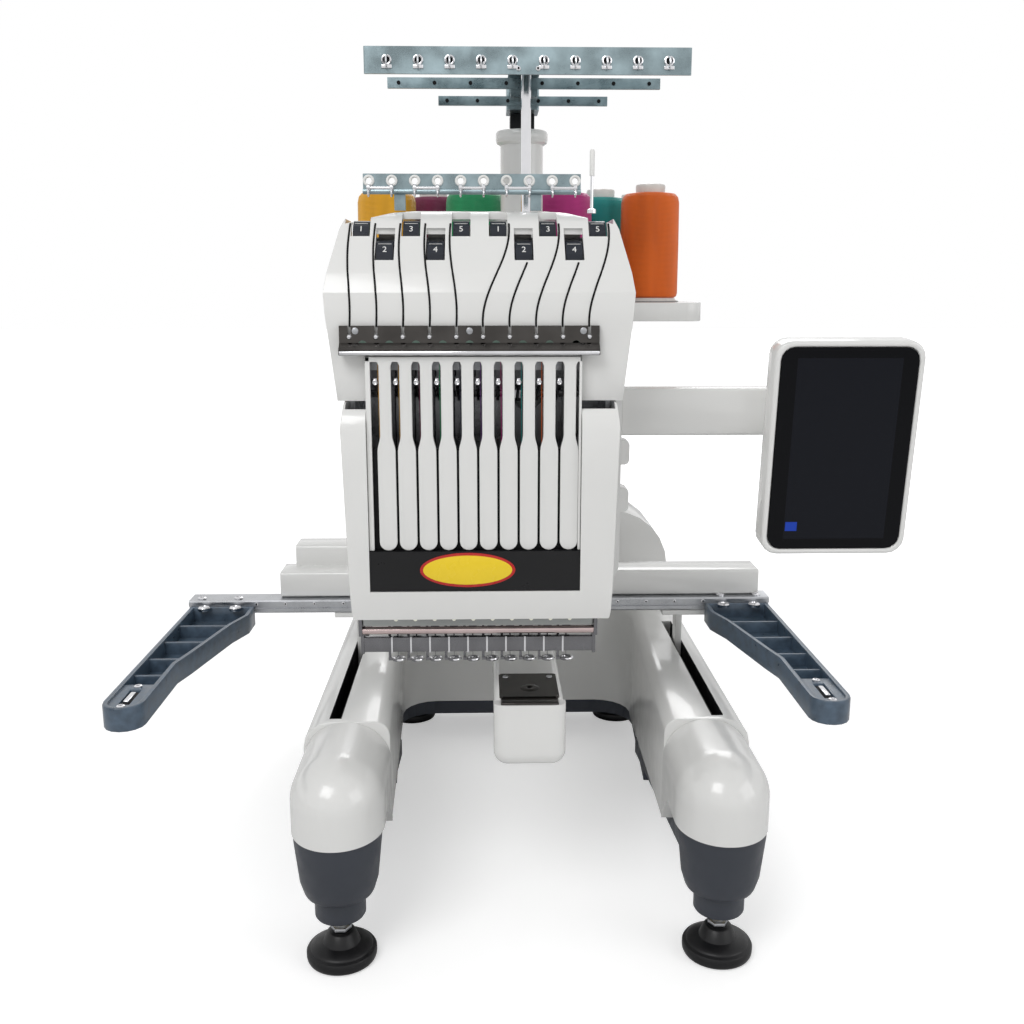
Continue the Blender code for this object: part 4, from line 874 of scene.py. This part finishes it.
GREEN_DARK = moulded("window_green", (0.10, 0.16, 0.13), 0.25, 2000.0, 0.00002, 0.2)
LIP_END = PLATE.size.x / 2 - 0.0005
plate = bmesh.new()
# The lip's bright chrome paints the highlight along the dark plate's rolled edge; the rolled shape itself is
# real.
add_turned(plate, [(0, -LIP_END), (0.0019, -LIP_END), (0.0021, 0.0003 - LIP_END), (0.0021, LIP_END - 0.0003),
                   (0.0019, LIP_END), (0, LIP_END)],
           (PLATE_X, PLATE.low.y + 0.0016, PLATE.low.z + 0.0026), "X", 20)
face_y = PLATE.low.y + 0.0072
for k in range(NEEDLES):
    x = PLATE_X + (k - HALF_WAY) * NOTCH
    add_turned(plate, [(0, 0), (0.0017, 0.0004), (0.0021, 0.0014), (0.0014, 0.0026), (0, 0.0030)],
               (x, face_y + 0.0002, PLATE.high.z - 0.0085), "Y", 16, turn=FACE_FRONT)
    window_x = x + NOTCH / 2 - 0.0001 if k < NEEDLES - 1 else x - NOTCH / 2
    add_plate(plate, half_moon(0.0036), 0.0003, (window_x, face_y - 0.0004, PLATE.high.z - 0.0148), "Y",
              slot=1)
for across in (-0.088, 0.0, 0.088):
    add_turned(plate, disc(0.0027, 0.0014, 0.0007), (PLATE_X + across, face_y + 0.0006,
                                                     PLATE.high.z - 0.0040), "Y", 24,
               slot=2, turn=FACE_FRONT)
finish_piece("plate_trim", plate, "needle_case", [CHROME, GREEN_DARK, STEEL])

# %% [markdown]
# ## The blank badge
# A yellow oval with a red rim sits on the charcoal band. It is left blank here.
# It is a circle stretched into an oval, with its rim bevelled and coloured separately.

# %% The oval
YELLOW = moulded("badge_yellow", (0.92, 0.66, 0.02), 0.25, 1500.0, 0.00001, 0.03)
RED = moulded("badge_red", (0.52, 0.012, 0.010), 0.25, 1500.0, 0.00001, 0.05)
band = Box("name_band")
BADGE_WIDTH, CORNERS = 0.0765, 64
badge = bmesh.new()
for slot, width, height, thickness in ((1, BADGE_WIDTH, 0.0285, 0.0005), (0, 0.0715, 0.0240, 0.0009)):
    angles = [math.tau * i / CORNERS for i in range(CORNERS)]
    oval = [(width / 2 * math.cos(angle), height / 2 * math.sin(angle)) for angle in angles]
    add_plate(badge, oval, thickness, (band.middle.x - 0.0060, band.low.y, band.middle.z + 0.0012), "Y",
              0.0002, slot)
finish_piece("blank_badge", badge, "needle_case", [YELLOW, RED])
print("badge", round(BADGE_WIDTH * 1000, 1), "mm wide")


# %% [markdown]
# ## Below the case
# Under the lower cover hangs a clear lamp strip with ten small lamps, then a copper-tinted rod,
# then a dark bar in front of the presser feet. They are small, but they are what the eye lands on above the
# needle.

# %% Lamp strip, rod and bar
RAIL = Box("foot_rail")
LAMP = moulded("lamp_acrylic", (0.40, 0.42, 0.41), 0.12, 1200.0, 0.00002, 0.12, Coat_Weight=0.6)
LED = moulded("lamp_dot", (0.85, 0.84, 0.72), 0.3, 2500.0, 0.00001, 0.05, Emission_Color=(1, 0.97, 0.85, 1),
              Emission_Strength=0.25)
low, high = RAIL.low, RAIL.high
strip = bmesh.new()
ROD = [(0, 0), (0.0026, 0), (0.0032, 0.0006), (0.0032, RAIL.size.x - 0.0006), (0.0026, RAIL.size.x),
       (0, RAIL.size.x)]
add_block(strip, (low.x + 0.003, low.y + 0.001, high.z - 0.0130),
          (high.x - 0.003, low.y + 0.0138, high.z - 0.0004), 0.0022)
add_turned(strip, ROD, (low.x, low.y + 0.0045, low.z + 0.0235), "X", 28, slot=2)
add_block(strip, (low.x + 0.001, low.y + 0.0130, low.z + 0.0015),
          (high.x - 0.001, low.y + 0.0185, low.z + 0.0145), 0.0008, slot=3)
for side in (low.x, high.x - 0.003):
    add_block(strip, (side, low.y + 0.0125, low.z), (side + 0.003, high.y, high.z), 0.0006, slot=3)
    add_block(strip, (side, low.y, low.z + 0.0195), (side + 0.003, high.y, high.z), 0.0006, slot=3)
for k in range(NEEDLES):
    add_turned(strip, [(0, 0.0004), (0.0015, 0.0004), (0.0019, 0), (0, 0)],
               (NEEDLE_X[k], low.y + 0.0012, high.z - 0.0066), "Y", 16, slot=1, turn=FACE_FRONT)
    x = NEEDLE_X[k]
    add_block(strip, (x - 0.0056, low.y + 0.0120, low.z + 0.001),
              (x - 0.0040, low.y + 0.0131, low.z + 0.0150),
              0.0003, slot=4)
finish_piece("lamp_and_rods", strip, "needle_case", [LAMP, LED, PINK_CHROME, GUNMETAL, CHROME],
             replaces=["foot_rail"])

# %% [markdown]
# The presser feet are bent from spring wire: a stem, a quarter bend and a small ring round the needle.
# A ring is a circle of wire spun round the needle's axis, and the stem is a short rounded bar beside it.

# %% Ten wire feet
for number in range(1, NEEDLES + 1):
    body = "foot_3" if number == 3 else f"needle_{number:02d}"
    x = NEEDLE_X[NEEDLES - number]
    bottom = Box("presser_foot_3").low.z
    stem = x - 0.007
    y = Box("needle_bar_3").middle.y
    foot = bmesh.new()
    add_turned(foot, ring(0.0042, 0.00125), (x, y, bottom + 0.0013), steps=28)
    add_block(foot, (stem + 0.0006, y - 0.0012, bottom + 0.0002), (x - 0.0036, y + 0.0012, bottom + 0.0024),
              0.0005)
    finish_piece(f"foot_ring_{number:02d}", foot, body, CHROME)
print("feet bent:", NEEDLES)

# %% [markdown]
# Inside each take-up slot hangs a thread, and the chrome lever's eye glints in front of it.
# The threads are hair-thin wires, each in its cone's colour, and they stay clear of the levers.

# %% Threads behind the fingers
THREADS = ("amber", "gold", "plum", "green", "navy", "violet", "magenta", "teal", "orange", "black")
lever = Box("take_up_lever_3")
for k, colour in enumerate(THREADS):
    x = SLOT_X[k] + 0.0021
    shade = moulded("slot_thread_" + colour, COLOURS[colour], 0.4, 4000.0, 0.00002, 0.1)
    behind = COMB.high.y + 0.003
    run = [(x, behind, 0.505), (x + 0.0003, behind + 0.0006, 0.430), (x - 0.0003, behind, 0.330)]
    add_wire(f"slot_thread_{k + 1:02d}", run, 0.0003, "needle_case", shade, sides=1)
    eye = bmesh.new()
    add_turned(eye, ring(0.0016, 0.0007), (SLOT_X[k], lever.low.y + 0.0002, lever.high.z - 0.0028), "Y", 16)
    body = "take_up_3" if k == NEEDLES - 3 else "needle_case"
    finish_piece(f"lever_eye_{k + 1:02d}", eye, body, CHROME)
print("slots threaded")

# %% [markdown]
# ## The hook end
# The needle plate is a dark mirror with a raised boss round the needle hole and a screw at each side.
# Under it the white hook cover has a bevelled dark upper edge.

# %% Boss, screws and the cover's edge
needle_plate = Box("needle_plate")
top = needle_plate.high.z
needle = NEEDLE_X[NEEDLES - 3]
hook_end = bmesh.new()
BOSS = [(0.0023, -0.0005), (0.0023, 0.0006), (0.0030, 0.0009), (0.0062, 0.0007), (0.0082, 0.0001),
        (0.0084, -0.0005), (0.0023, -0.0005)]
add_turned(hook_end, BOSS, (needle, Box("needle_bar_3").middle.y, top), steps=40)
for side in (-1, 1):
    spot = (needle_plate.middle.x + side * 0.0195, needle_plate.low.y + 0.047, top - 0.0002)
    add_turned(hook_end, disc(0.0027, 0.0009, 0.0005), spot, steps=24, slot=1)
finish_piece("plate_boss", hook_end, "base", [DARK_CHROME, STEEL])

# %% The hook cover, rounded like a soap bar
cover = Box("hook_cover")
door = bmesh.new()
add_pebble(door, cover.low, cover.high, (0.012, 0.007, 0.012), ("+y", "+z"), 22)
lip_low = (cover.low.x + 0.006, cover.low.y + 0.0015, cover.high.z - 0.0006)
lip_high = (cover.high.x - 0.006, needle_plate.low.y - 0.0004, cover.high.z + 0.0018)
add_block(door, lip_low, lip_high, 0.0009, slot=1)
finish_piece("hook_door_shell", door, "hook_door", [WHITE, DARK_CHROME], replaces=["hook_cover"],
             sharp=50)
print("hook end done")


# %% [markdown]
# ## The hoop drive
# The bar that carries the hoop arms is held by small dark screws along its top, and each arm is clamped to it
# by two chrome knob screws. Near its tip an arm has a spring clip in a slot, between two screws, for the
# hoop's bracket.

# %% Screws, knobs and clips
def add_screw(bm, place, radius, height, turn=None, head=0, hole=1):
    """A domed head with a sunk socket, whose floor is a dark disc of painted shade."""
    add_turned(bm, [(radius * 0.45, height * 0.55), (radius * 0.5, height), (radius * 0.8, height * 0.95),
                    (radius, height * 0.6), (radius, 0), (0, 0)], place, steps=28, slot=head, turn=turn)
    add_turned(bm, pin(radius * 0.46, height * 0.52, height * 0.5), place, steps=12, slot=hole, turn=turn)


bar = Box("x_carriage")
FIRST_SCREW, SCREW_PITCH, CLAMP_OFFSETS = 0.070, 0.030, (0.012, 0.050)
screws = bmesh.new()
for side in (-1, 1):
    for step in range(5):
        x = bar.middle.x + side * (bar.size.x / 2 - FIRST_SCREW - SCREW_PITCH * step)
        add_screw(screws, (x, bar.low.y - 0.0001, bar.high.z - 0.0035), 0.0018, 0.0010, FACE_FRONT)
    for offset in CLAMP_OFFSETS:
        x = bar.middle.x + side * (bar.size.x / 2 - offset)
        add_screw(screws, (x, bar.low.y + 0.0085, bar.high.z - 0.0002), 0.0045, 0.0022)
finish_piece("bar_screws", screws, "carriage", [CHROME, SHADOW])

KNOB = [(0, 0), (0.0058, 0), (0.0062, 0.0006), (0.0062, 0.0030), (0.0052, 0.0042), (0.0030, 0.0044),
        (0.0026, 0.0036),
        (0, 0.0034)]
for side in ("left", "right"):
    arm = Box("hoop_arm_" + side)
    out = 1 if side == "right" else -1
    outer_x = arm.high.x if out > 0 else arm.low.x
    tip_x, top = outer_x - out * 0.0165, arm.high.z - 0.002
    fittings = bmesh.new()
    for offset in (0.016, 0.048):
        add_turned(fittings, KNOB, (outer_x - out * offset, arm.high.y - 0.0085, top + 0.0002), steps=32)
    for along in (0.0085, 0.052):
        add_screw(fittings, (tip_x, arm.low.y + along, top), 0.0034, 0.0018)
    # The dark block paints the shade inside the arm's slot, round the clip.
    add_block(fittings, (tip_x - 0.0038, arm.low.y + 0.0165, top - 0.0047),
              (tip_x + 0.0038, arm.low.y + 0.0435, top - 0.0012),
              0.0009, slot=1)
    add_block(fittings, (tip_x - 0.0022, arm.low.y + 0.0200, top - 0.0020),
              (tip_x + 0.0022, arm.low.y + 0.0400, top + 0.0006),
              0.0007)
    finish_piece(f"hoop_clip_{side}", fittings, "carriage", [CHROME, SHADOW])
for side in ("left", "right"):
    soften("hoop_arm_" + side, 0.0007, "carriage", CASTING, 2)
print("hoop drive fitted")


# %% [markdown]
# ## The thread guides
# From the cones the thread goes up to ten eyes in a wide zinc plate, then down to ten eyes in the rail on
# the case.
# The rail's eyes are white ceramic rings, joined in pairs by short chrome rods with a hook at each end.

# %% The rail over the case
rail = Box("head_guide_rail")
front = rail.low.y + 0.0035
EYE_PITCH = 0.0186
EYE_Z, ROD_Z, HOOK_Z = 0.6445, 0.6385, 0.6345
BUTTON = [(0, 0), (0.0030, 0), (0.0034, 0.0005), (0.0034, 0.0024), (0.0028, 0.0030), (0, 0.0030)]
eyes, hooks = bmesh.new(), bmesh.new()
for k in range(NEEDLES):
    x = rail.middle.x + (k - HALF_WAY) * EYE_PITCH
    add_turned(eyes, ring(0.0036, 0.0011, 10), (x, front - 0.0004, EYE_Z), "Y", 28)
    add_turned(hooks, ring(0.0026, 0.0008, 8), (x, front - 0.0048, HOOK_Z), "X", 20)
    add_turned(hooks, BUTTON, (x - 0.0015, front - 0.0020, ROD_Z), "X", 20)
for pair in range(5):
    x = rail.middle.x + (2 * pair - HALF_WAY) * EYE_PITCH
    add_turned(hooks, pin(0.0016, EYE_PITCH), (x, front - 0.0020, ROD_Z), "X", 16)
finish_piece("ceramic_eyes", eyes, "needle_case", INK)
finish_piece("rail_hooks", hooks, "needle_case", CHROME)

# %% The plate at the top, with its clips
top_plate = Box("guide_plate_top")
TOP_PITCH = top_plate.size.x / 10.45
guides = bmesh.new()
for k in range(NEEDLES):
    x = top_plate.middle.x + (k - HALF_WAY) * TOP_PITCH
    y, z = top_plate.low.y, top_plate.high.z - 0.0105
    add_turned(guides, ring(0.0034, 0.0010, 8), (x, y - 0.0004, z), "Y", 24)
    # A dark disc in each eye paints the shade in its hole.
    add_turned(guides, pin(0.0024, 0.0002), (x, y - 0.0003, z), "Y", 16, slot=1)
    add_turned(guides, ring(0.0050, 0.0008, 8), (x, y - 0.0012, z - 0.0016), "X", 24)
    add_block(guides, (x - 0.0042, y - 0.0012, z - 0.0066), (x + 0.0042, y - 0.0002, z - 0.0036), 0.0004)
for across in (-0.008, 0.008):
    spot = (top_plate.middle.x + across, top_plate.low.y - 0.0001, top_plate.high.z - 0.0165)
    add_screw(guides, spot, 0.0020, 0.0012, FACE_FRONT)
finish_piece("top_plate_clips", guides, "base", [CHROME, SHADOW])

# %% Holes in the two shorter bars, as dark discs of painted shade, and the tower's fittings
bars = Box("guide_bars")
holes = bmesh.new()
FRONT_BAR, REAR_BAR = (0.112, -0.0733, 0.7385, 8), (0.070, -0.0433, 0.7285, 6)
for half, y, z, count in (FRONT_BAR, REAR_BAR):
    for i in range(count):
        x = bars.middle.x - half + 2 * half * i / (count - 1)
        add_turned(holes, pin(0.0017, 0.0003), (x, y, z), "Y", 16, turn=FACE_FRONT)
tower = Box("guide_tower")
collar_y = (tower.low.y + tower.high.y) / 2
add_block(holes, (tower.middle.x - 0.0115, collar_y - 0.0135, tower.high.z - 0.0205),
          (tower.middle.x + 0.0115, collar_y + 0.0115, tower.high.z - 0.0003), 0.001, slot=1)
finish_piece("bar_holes_and_block", holes, "base", [SHADOW, BAND])

rim = bmesh.new()
LIP, RIM_Z, FOOT_RIM_Z = tower.size.x / 2, 0.6930, 0.6003
add_turned(rim, [(LIP - 0.006, 0), (LIP - 0.0035, 0), (LIP - 0.0005, 0.0025), (LIP + 0.0004, 0.0045),
                 (LIP + 0.0004, 0.0105), (LIP - 0.0008, 0.0126), (LIP - 0.0030, 0.0132),
                 (LIP - 0.0060, 0.0126),
                 (LIP - 0.006, 0)], (tower.middle.x, collar_y, RIM_Z), steps=64)
add_turned(rim, [(LIP - 0.0045, 0), (LIP + 0.0015, 0), (LIP + 0.0015, 0.0042), (LIP + 0.0005, 0.0057),
                 (LIP - 0.0036, 0.0063), (LIP - 0.0045, 0)], (tower.middle.x, collar_y, FOOT_RIM_Z), steps=64)
finish_piece("tower_rim", rim, "base", WHITE)

# %% The thread catcher on the case, a thin rod with a white tip
catcher = bmesh.new()
CATCHER_Z = 0.6195
spot = (UPPER.middle.x + 0.092, rail.middle.y + 0.004, CATCHER_Z)
add_turned(catcher, [(0, 0), (0.0036, 0), (0.0036, 0.0030), (0.0013, 0.0040), (0.0012, 0.0305), (0, 0.0305)],
           spot, steps=20)
add_turned(catcher, [(0, 0.0295), (0.0020, 0.0295), (0.0021, 0.0485), (0.0014, 0.0503), (0, 0.0505)], spot,
           steps=20, slot=1)
finish_piece("thread_catcher", catcher, "needle_case", [CHROME, INK])
print("guides fitted")


# %% [markdown]
# ## The screen
# The display is black glass with a slightly lighter active area, and a small blue tile glows near its lower
# left corner.
# The active area is drawn on the glass by arithmetic: a rectangle is where two distances are both small.

# %% Display glass
glass_box = Box("screen_glass")
ACTIVE_X, ACTIVE_Z = 0.0435, 0.0775
TILE_X, TILE_Z, TILE_HALF_X, TILE_HALF_Z = 0.0375, 0.0665, 0.0050, 0.0040
display = Finish("display_glass", (0.004, 0.0045, 0.006), 0.05, 0.0, Specular_IOR_Level=0.12)
across = (display.x - glass_box.middle.x).size()
up = (display.z - glass_box.middle.z).size()
outside = across.maths("MAXIMUM", across.above(ACTIVE_X), up.above(ACTIVE_Z))
smudge = display.noise(30.0, 4.0)
display.set("Base Color", outside.blend((0.0075, 0.0085, 0.0125, 1), (0.0025, 0.0028, 0.004, 1)))
display.set("Roughness", smudge.spread(0.4, 0.75, 0.04, 0.16))
tile_x = (display.x - (glass_box.middle.x - TILE_X)).size()
tile_z = (display.z - (glass_box.middle.z - TILE_Z)).size()
tile = 1.0 - tile_x.maths("MAXIMUM", tile_x.above(TILE_HALF_X), tile_z.above(TILE_HALF_Z))
display.set("Emission Color", tile.blend((0, 0, 0, 1), (0.01, 0.05, 0.42, 1)))
display.set("Emission Strength", 0.8)
dress("screen_glass", display.material)

# %% The tilt knobs
hinge = next(joint for joint in frame["joints"] if joint["name"] == "screen_tilt")["pos_m"]
TILT_KNOB = [(0, 0), (0.0075, 0), (0.0082, 0.0008), (0.0082, 0.0058), (0.0070, 0.0068), (0, 0.0070)]
knobs = bmesh.new()
for side in (-1, 1):
    add_turned(knobs, TILT_KNOB, (hinge[0] + side * 0.0190 - (0.0070 if side < 0 else 0), hinge[1], hinge[2]),
               "X", 40)
finish_piece("tilt_knobs", knobs, "screen", SLATE)


# %% [markdown]
# ## The back
# The rear of the column is a screwed service panel with ventilation slots, and low down are the power socket
# and the switch. Slots are thin dark plates of painted shade laid a hair proud, so that the cover itself
# needs no cutting.

# %% Service panel, vents, socket and switch
rear_y = Box("column_shell").high.y
PANEL_WIDTH, PANEL_HEIGHT, PANEL_Z, PANEL_CORNER = 0.132, 0.236, 0.388, 0.007
VENTS, VENT_WIDTH, VENT_PITCH, FIRST_VENT_Z = 12, 0.074, 0.0068, 0.418
SCREW_INSET = 0.006
panel, slots = bmesh.new(), bmesh.new()
outline = rounded_rectangle(PANEL_WIDTH, PANEL_HEIGHT, PANEL_CORNER)
add_plate(panel, outline, 0.0011, (MIDDLE_X, rear_y + 0.0006, PANEL_Z), "Y", 0.0004)
vent = rounded_rectangle(VENT_WIDTH, 0.0030, 0.0014)
for row in range(VENTS):
    add_plate(slots, vent, 0.0003, (MIDDLE_X, rear_y + 0.0009, FIRST_VENT_Z + row * VENT_PITCH), "Y")
for side in (-1, 1):
    for z in (0.2785, 0.4975):
        spot = (MIDDLE_X + side * (PANEL_WIDTH / 2 - SCREW_INSET), rear_y + 0.0005, z)
        add_screw(slots, spot, 0.0030, 0.0014, FACE_BACK, 1, 0)
finish_piece("service_panel", panel, "base", WHITE)
finish_piece("panel_vents_and_screws", slots, "base", [SHADOW, STEEL])

inlet = bmesh.new()
spot = Vector((MIDDLE_X - 0.070, BASE.high.y + 0.0016, 0.108))
socket = spot - Vector((0.008, 0, 0))
PIN_LOW, PIN_HIGH = Vector((-0.0008, 0.0001, -0.0022)), Vector((0.0008, 0.0014, 0.0022))
ROCKER_LOW, ROCKER_HIGH = Vector((0.0105, -0.001, -0.0095)), Vector((0.0205, 0.0022, 0.0095))
add_plate(inlet, rounded_rectangle(0.050, 0.030, 0.004), 0.0020, spot, "Y", 0.0006)
# The socket's recess is a near-black plate of painted shade, darker than the inlet's black plastic.
add_plate(inlet, rounded_rectangle(0.026, 0.018, 0.003), 0.0004, socket + Vector((0, 0.0003, 0)), "Y", slot=1)
for pin_place in (Vector((-0.0065, 0, 0)), Vector((0.0065, 0, 0)), Vector((0, 0, 0.004))):
    add_block(inlet, socket + pin_place + PIN_LOW, socket + pin_place + PIN_HIGH, 0.0002, slot=2)
add_block(inlet, spot + ROCKER_LOW, spot + ROCKER_HIGH, 0.0012)
finish_piece("power_inlet", inlet, "base", [BAND, SHADOW, BRASS])
print("back panel is", round(PANEL_WIDTH * 1000), "mm wide")

# %% [markdown]
# ## The spool stand
# Each cone stands on a felt pad over a pin. The pads stop a cone turning, and a pin's tip shows in each cap.

# %% Felt pads and pins
FELT = Finish("felt", (0.34, 0.34, 0.33), 0.95, 0.0, Sheen_Weight=0.5)
fuzz = FELT.noise(900.0, 4.0)
FELT.set("Base Color", fuzz.spread(0.3, 0.7).blend((0.22, 0.22, 0.215, 1), (0.38, 0.38, 0.37, 1)))
FELT.set("Roughness", fuzz.spread(0.3, 0.7, 0.85, 1.0))
FELT.bump(fuzz, 0.0005)
PIN_TIP = [(0, TOP_Z - 0.0060), (0.0022, TOP_Z - 0.0060), (0.0022, TOP_Z - 0.0006), (0.0012, TOP_Z + 0.0006),
           (0, TOP_Z + 0.0008)]
FELT_RING = [(0.0150, FOOT_Z - 0.0002), (CONE_R + 0.0012, FOOT_Z - 0.0002),
             (CONE_R + 0.0012, FOOT_Z + 0.0010),
             (CONE_R - 0.0004, FOOT_Z + 0.0012), (0.0150, FOOT_Z + 0.0012), (0.0150, FOOT_Z - 0.0002)]
pads = bmesh.new()
for _, place in cone_places():
    add_turned(pads, PIN_TIP, place, steps=20, slot=1)
    add_turned(pads, FELT_RING, place, steps=40)
finish_piece("felt_pads_and_pins", pads, "base", [FELT.material, CHROME])

# %% [markdown]
# ## Small screws on the covers, and the leg slots
# Real covers are held on by screws near their corners, and the side of the lower cover has two.
# The long slots in the legs read as dark lines: black sheets on their walls and floor paint the shade inside
# them.

# %% Cover screws, and painted shade in the leg slots
covers = bmesh.new()
for side in (-1, 1):
    out = Matrix.Rotation(math.radians(90 * side), 4, "Y")
    for z in (LOWER.low.z + 0.020, LOWER.high.z - 0.022):
        spot = (CASE_X + side * (LOWER.size.x / 2 - 0.0014), LOWER.high.y - 0.016, z)
        add_screw(covers, spot, 0.0030, 0.0022, out)
finish_piece("cover_screws", covers, "needle_case", [STEEL, SHADOW])
SLOT_HALF, SLOT_FRONT, SLOT_REAR, SLOT_FLOOR, SLOT_MOUTH = 0.0050, -0.182, 0.093, 0.1521, 0.1822
slot_shade_sheets = bmesh.new()
for side in (-1, 1):
    x = MIDDLE_X + side * SLOT_X_OFFSET
    for wall in (x - SLOT_HALF, x + SLOT_HALF):
        add_block(slot_shade_sheets, (wall - 0.0003, SLOT_FRONT, 0.154), (wall + 0.0003, SLOT_REAR, SLOT_MOUTH), 0.0001)
    add_block(slot_shade_sheets, (x - SLOT_HALF, SLOT_FRONT, SLOT_FLOOR),
              (x + SLOT_HALF, SLOT_REAR, SLOT_FLOOR + 0.0003), 0.0001)
finish_piece("slot_painted_shade", slot_shade_sheets, "base", SHADOW)
print("covers screwed, slots lined")


# %% [markdown]
# ## The studio
# The machine stands on a plain pale floor in soft light: a large lamp above and in front, a weaker one at the
# right side and another behind, and a pale world that fills the shadows and gives the gloss something to
# mirror.
# The camera stands a little above the machine's middle and looks slightly down.

# %% Floor and world
def pale_surface(name):
    """A matt white floor that the camera sees as white, while it still takes the machine's shadow."""
    finish = Finish(name, (0.86, 0.86, 0.86), 0.7)
    grain = finish.noise(300.0, 2.0)
    finish.set("Roughness", grain.spread(0.3, 0.7, 0.65, 0.8))
    seen = finish.start.node("ShaderNodeLightPath", output=0)
    away = (finish.x ** 2 + finish.y ** 2) ** 0.5
    glow = seen * away.spread(0.7, 2.6, 0.42, 0.95)
    finish.set("Emission Color", glow.blend((0, 0, 0, 1), (1, 1, 1, 1)))
    finish.set("Emission Strength", 1.0)
    return finish.material


floor_shape = bmesh.new()
bmesh.ops.create_grid(floor_shape, x_segments=1, y_segments=1, size=14)
floor_mesh = bpy.data.meshes.new("floor")
floor_shape.to_mesh(floor_mesh)
floor_shape.free()
floor_mesh.materials.append(pale_surface("floor_paint"))
floor = bpy.data.objects.new("floor", floor_mesh)
floor.location.z = -0.0005
bpy.context.scene.collection.objects.link(floor)

world = bpy.data.worlds.new("studio")
bpy.context.scene.world = world
world.use_nodes = True
sky = Signal(world.node_tree, world.node_tree.nodes["Background"].outputs[0])
path = {name: sky.node("ShaderNodeLightPath", output=i)
        for i, name in ((0, "camera"), (3, "glossy"), (7, "transmission"))}
seen = (path["camera"] + path["glossy"] + path["transmission"]).above(0.5)
backdrop = world.node_tree.nodes["Background"]
backdrop.inputs["Color"].default_value = (1, 1, 1, 1)
world.node_tree.links.new((seen * 0.55 + 0.45).socket, backdrop.inputs["Strength"])
print("floor and world are in")


# %% Lamps and camera
def lamp(name, place, aim, width, height, watts):
    light = bpy.data.lights.new(name, "AREA")
    light.shape, light.size, light.size_y, light.energy = "RECTANGLE", width, height, watts
    holder = bpy.data.objects.new(name, light)
    holder.location = place
    holder.rotation_euler = (Vector(aim) - Vector(place)).to_track_quat("-Z", "Y").to_euler()
    bpy.context.scene.collection.objects.link(holder)


AIM = (0, 0, 0.4)
lamp("key_light", (-0.9, -1.7, 2.1), AIM, 1.2, 1.2, 24)
lamp("fill_light", (1.9, -1.2, 1.2), AIM, 1.4, 1.4, 9)
lamp("rim_light", (0.4, 2.2, 2.0), AIM, 1.6, 1.0, 16)

camera = bpy.data.objects.new("camera", bpy.data.cameras.new("camera"))
camera.data.sensor_width, camera.data.lens = 36, 37.27
camera.location = (-0.02575, -1.078, 0.5586)
camera.rotation_euler = (math.radians(90 - 11.88), 0, math.radians(-1.43))
bpy.context.scene.collection.objects.link(camera)
bpy.context.scene.camera = camera
bpy.context.scene.view_settings.view_transform = "Standard"
print("camera at", tuple(round(c, 3) for c in camera.location))
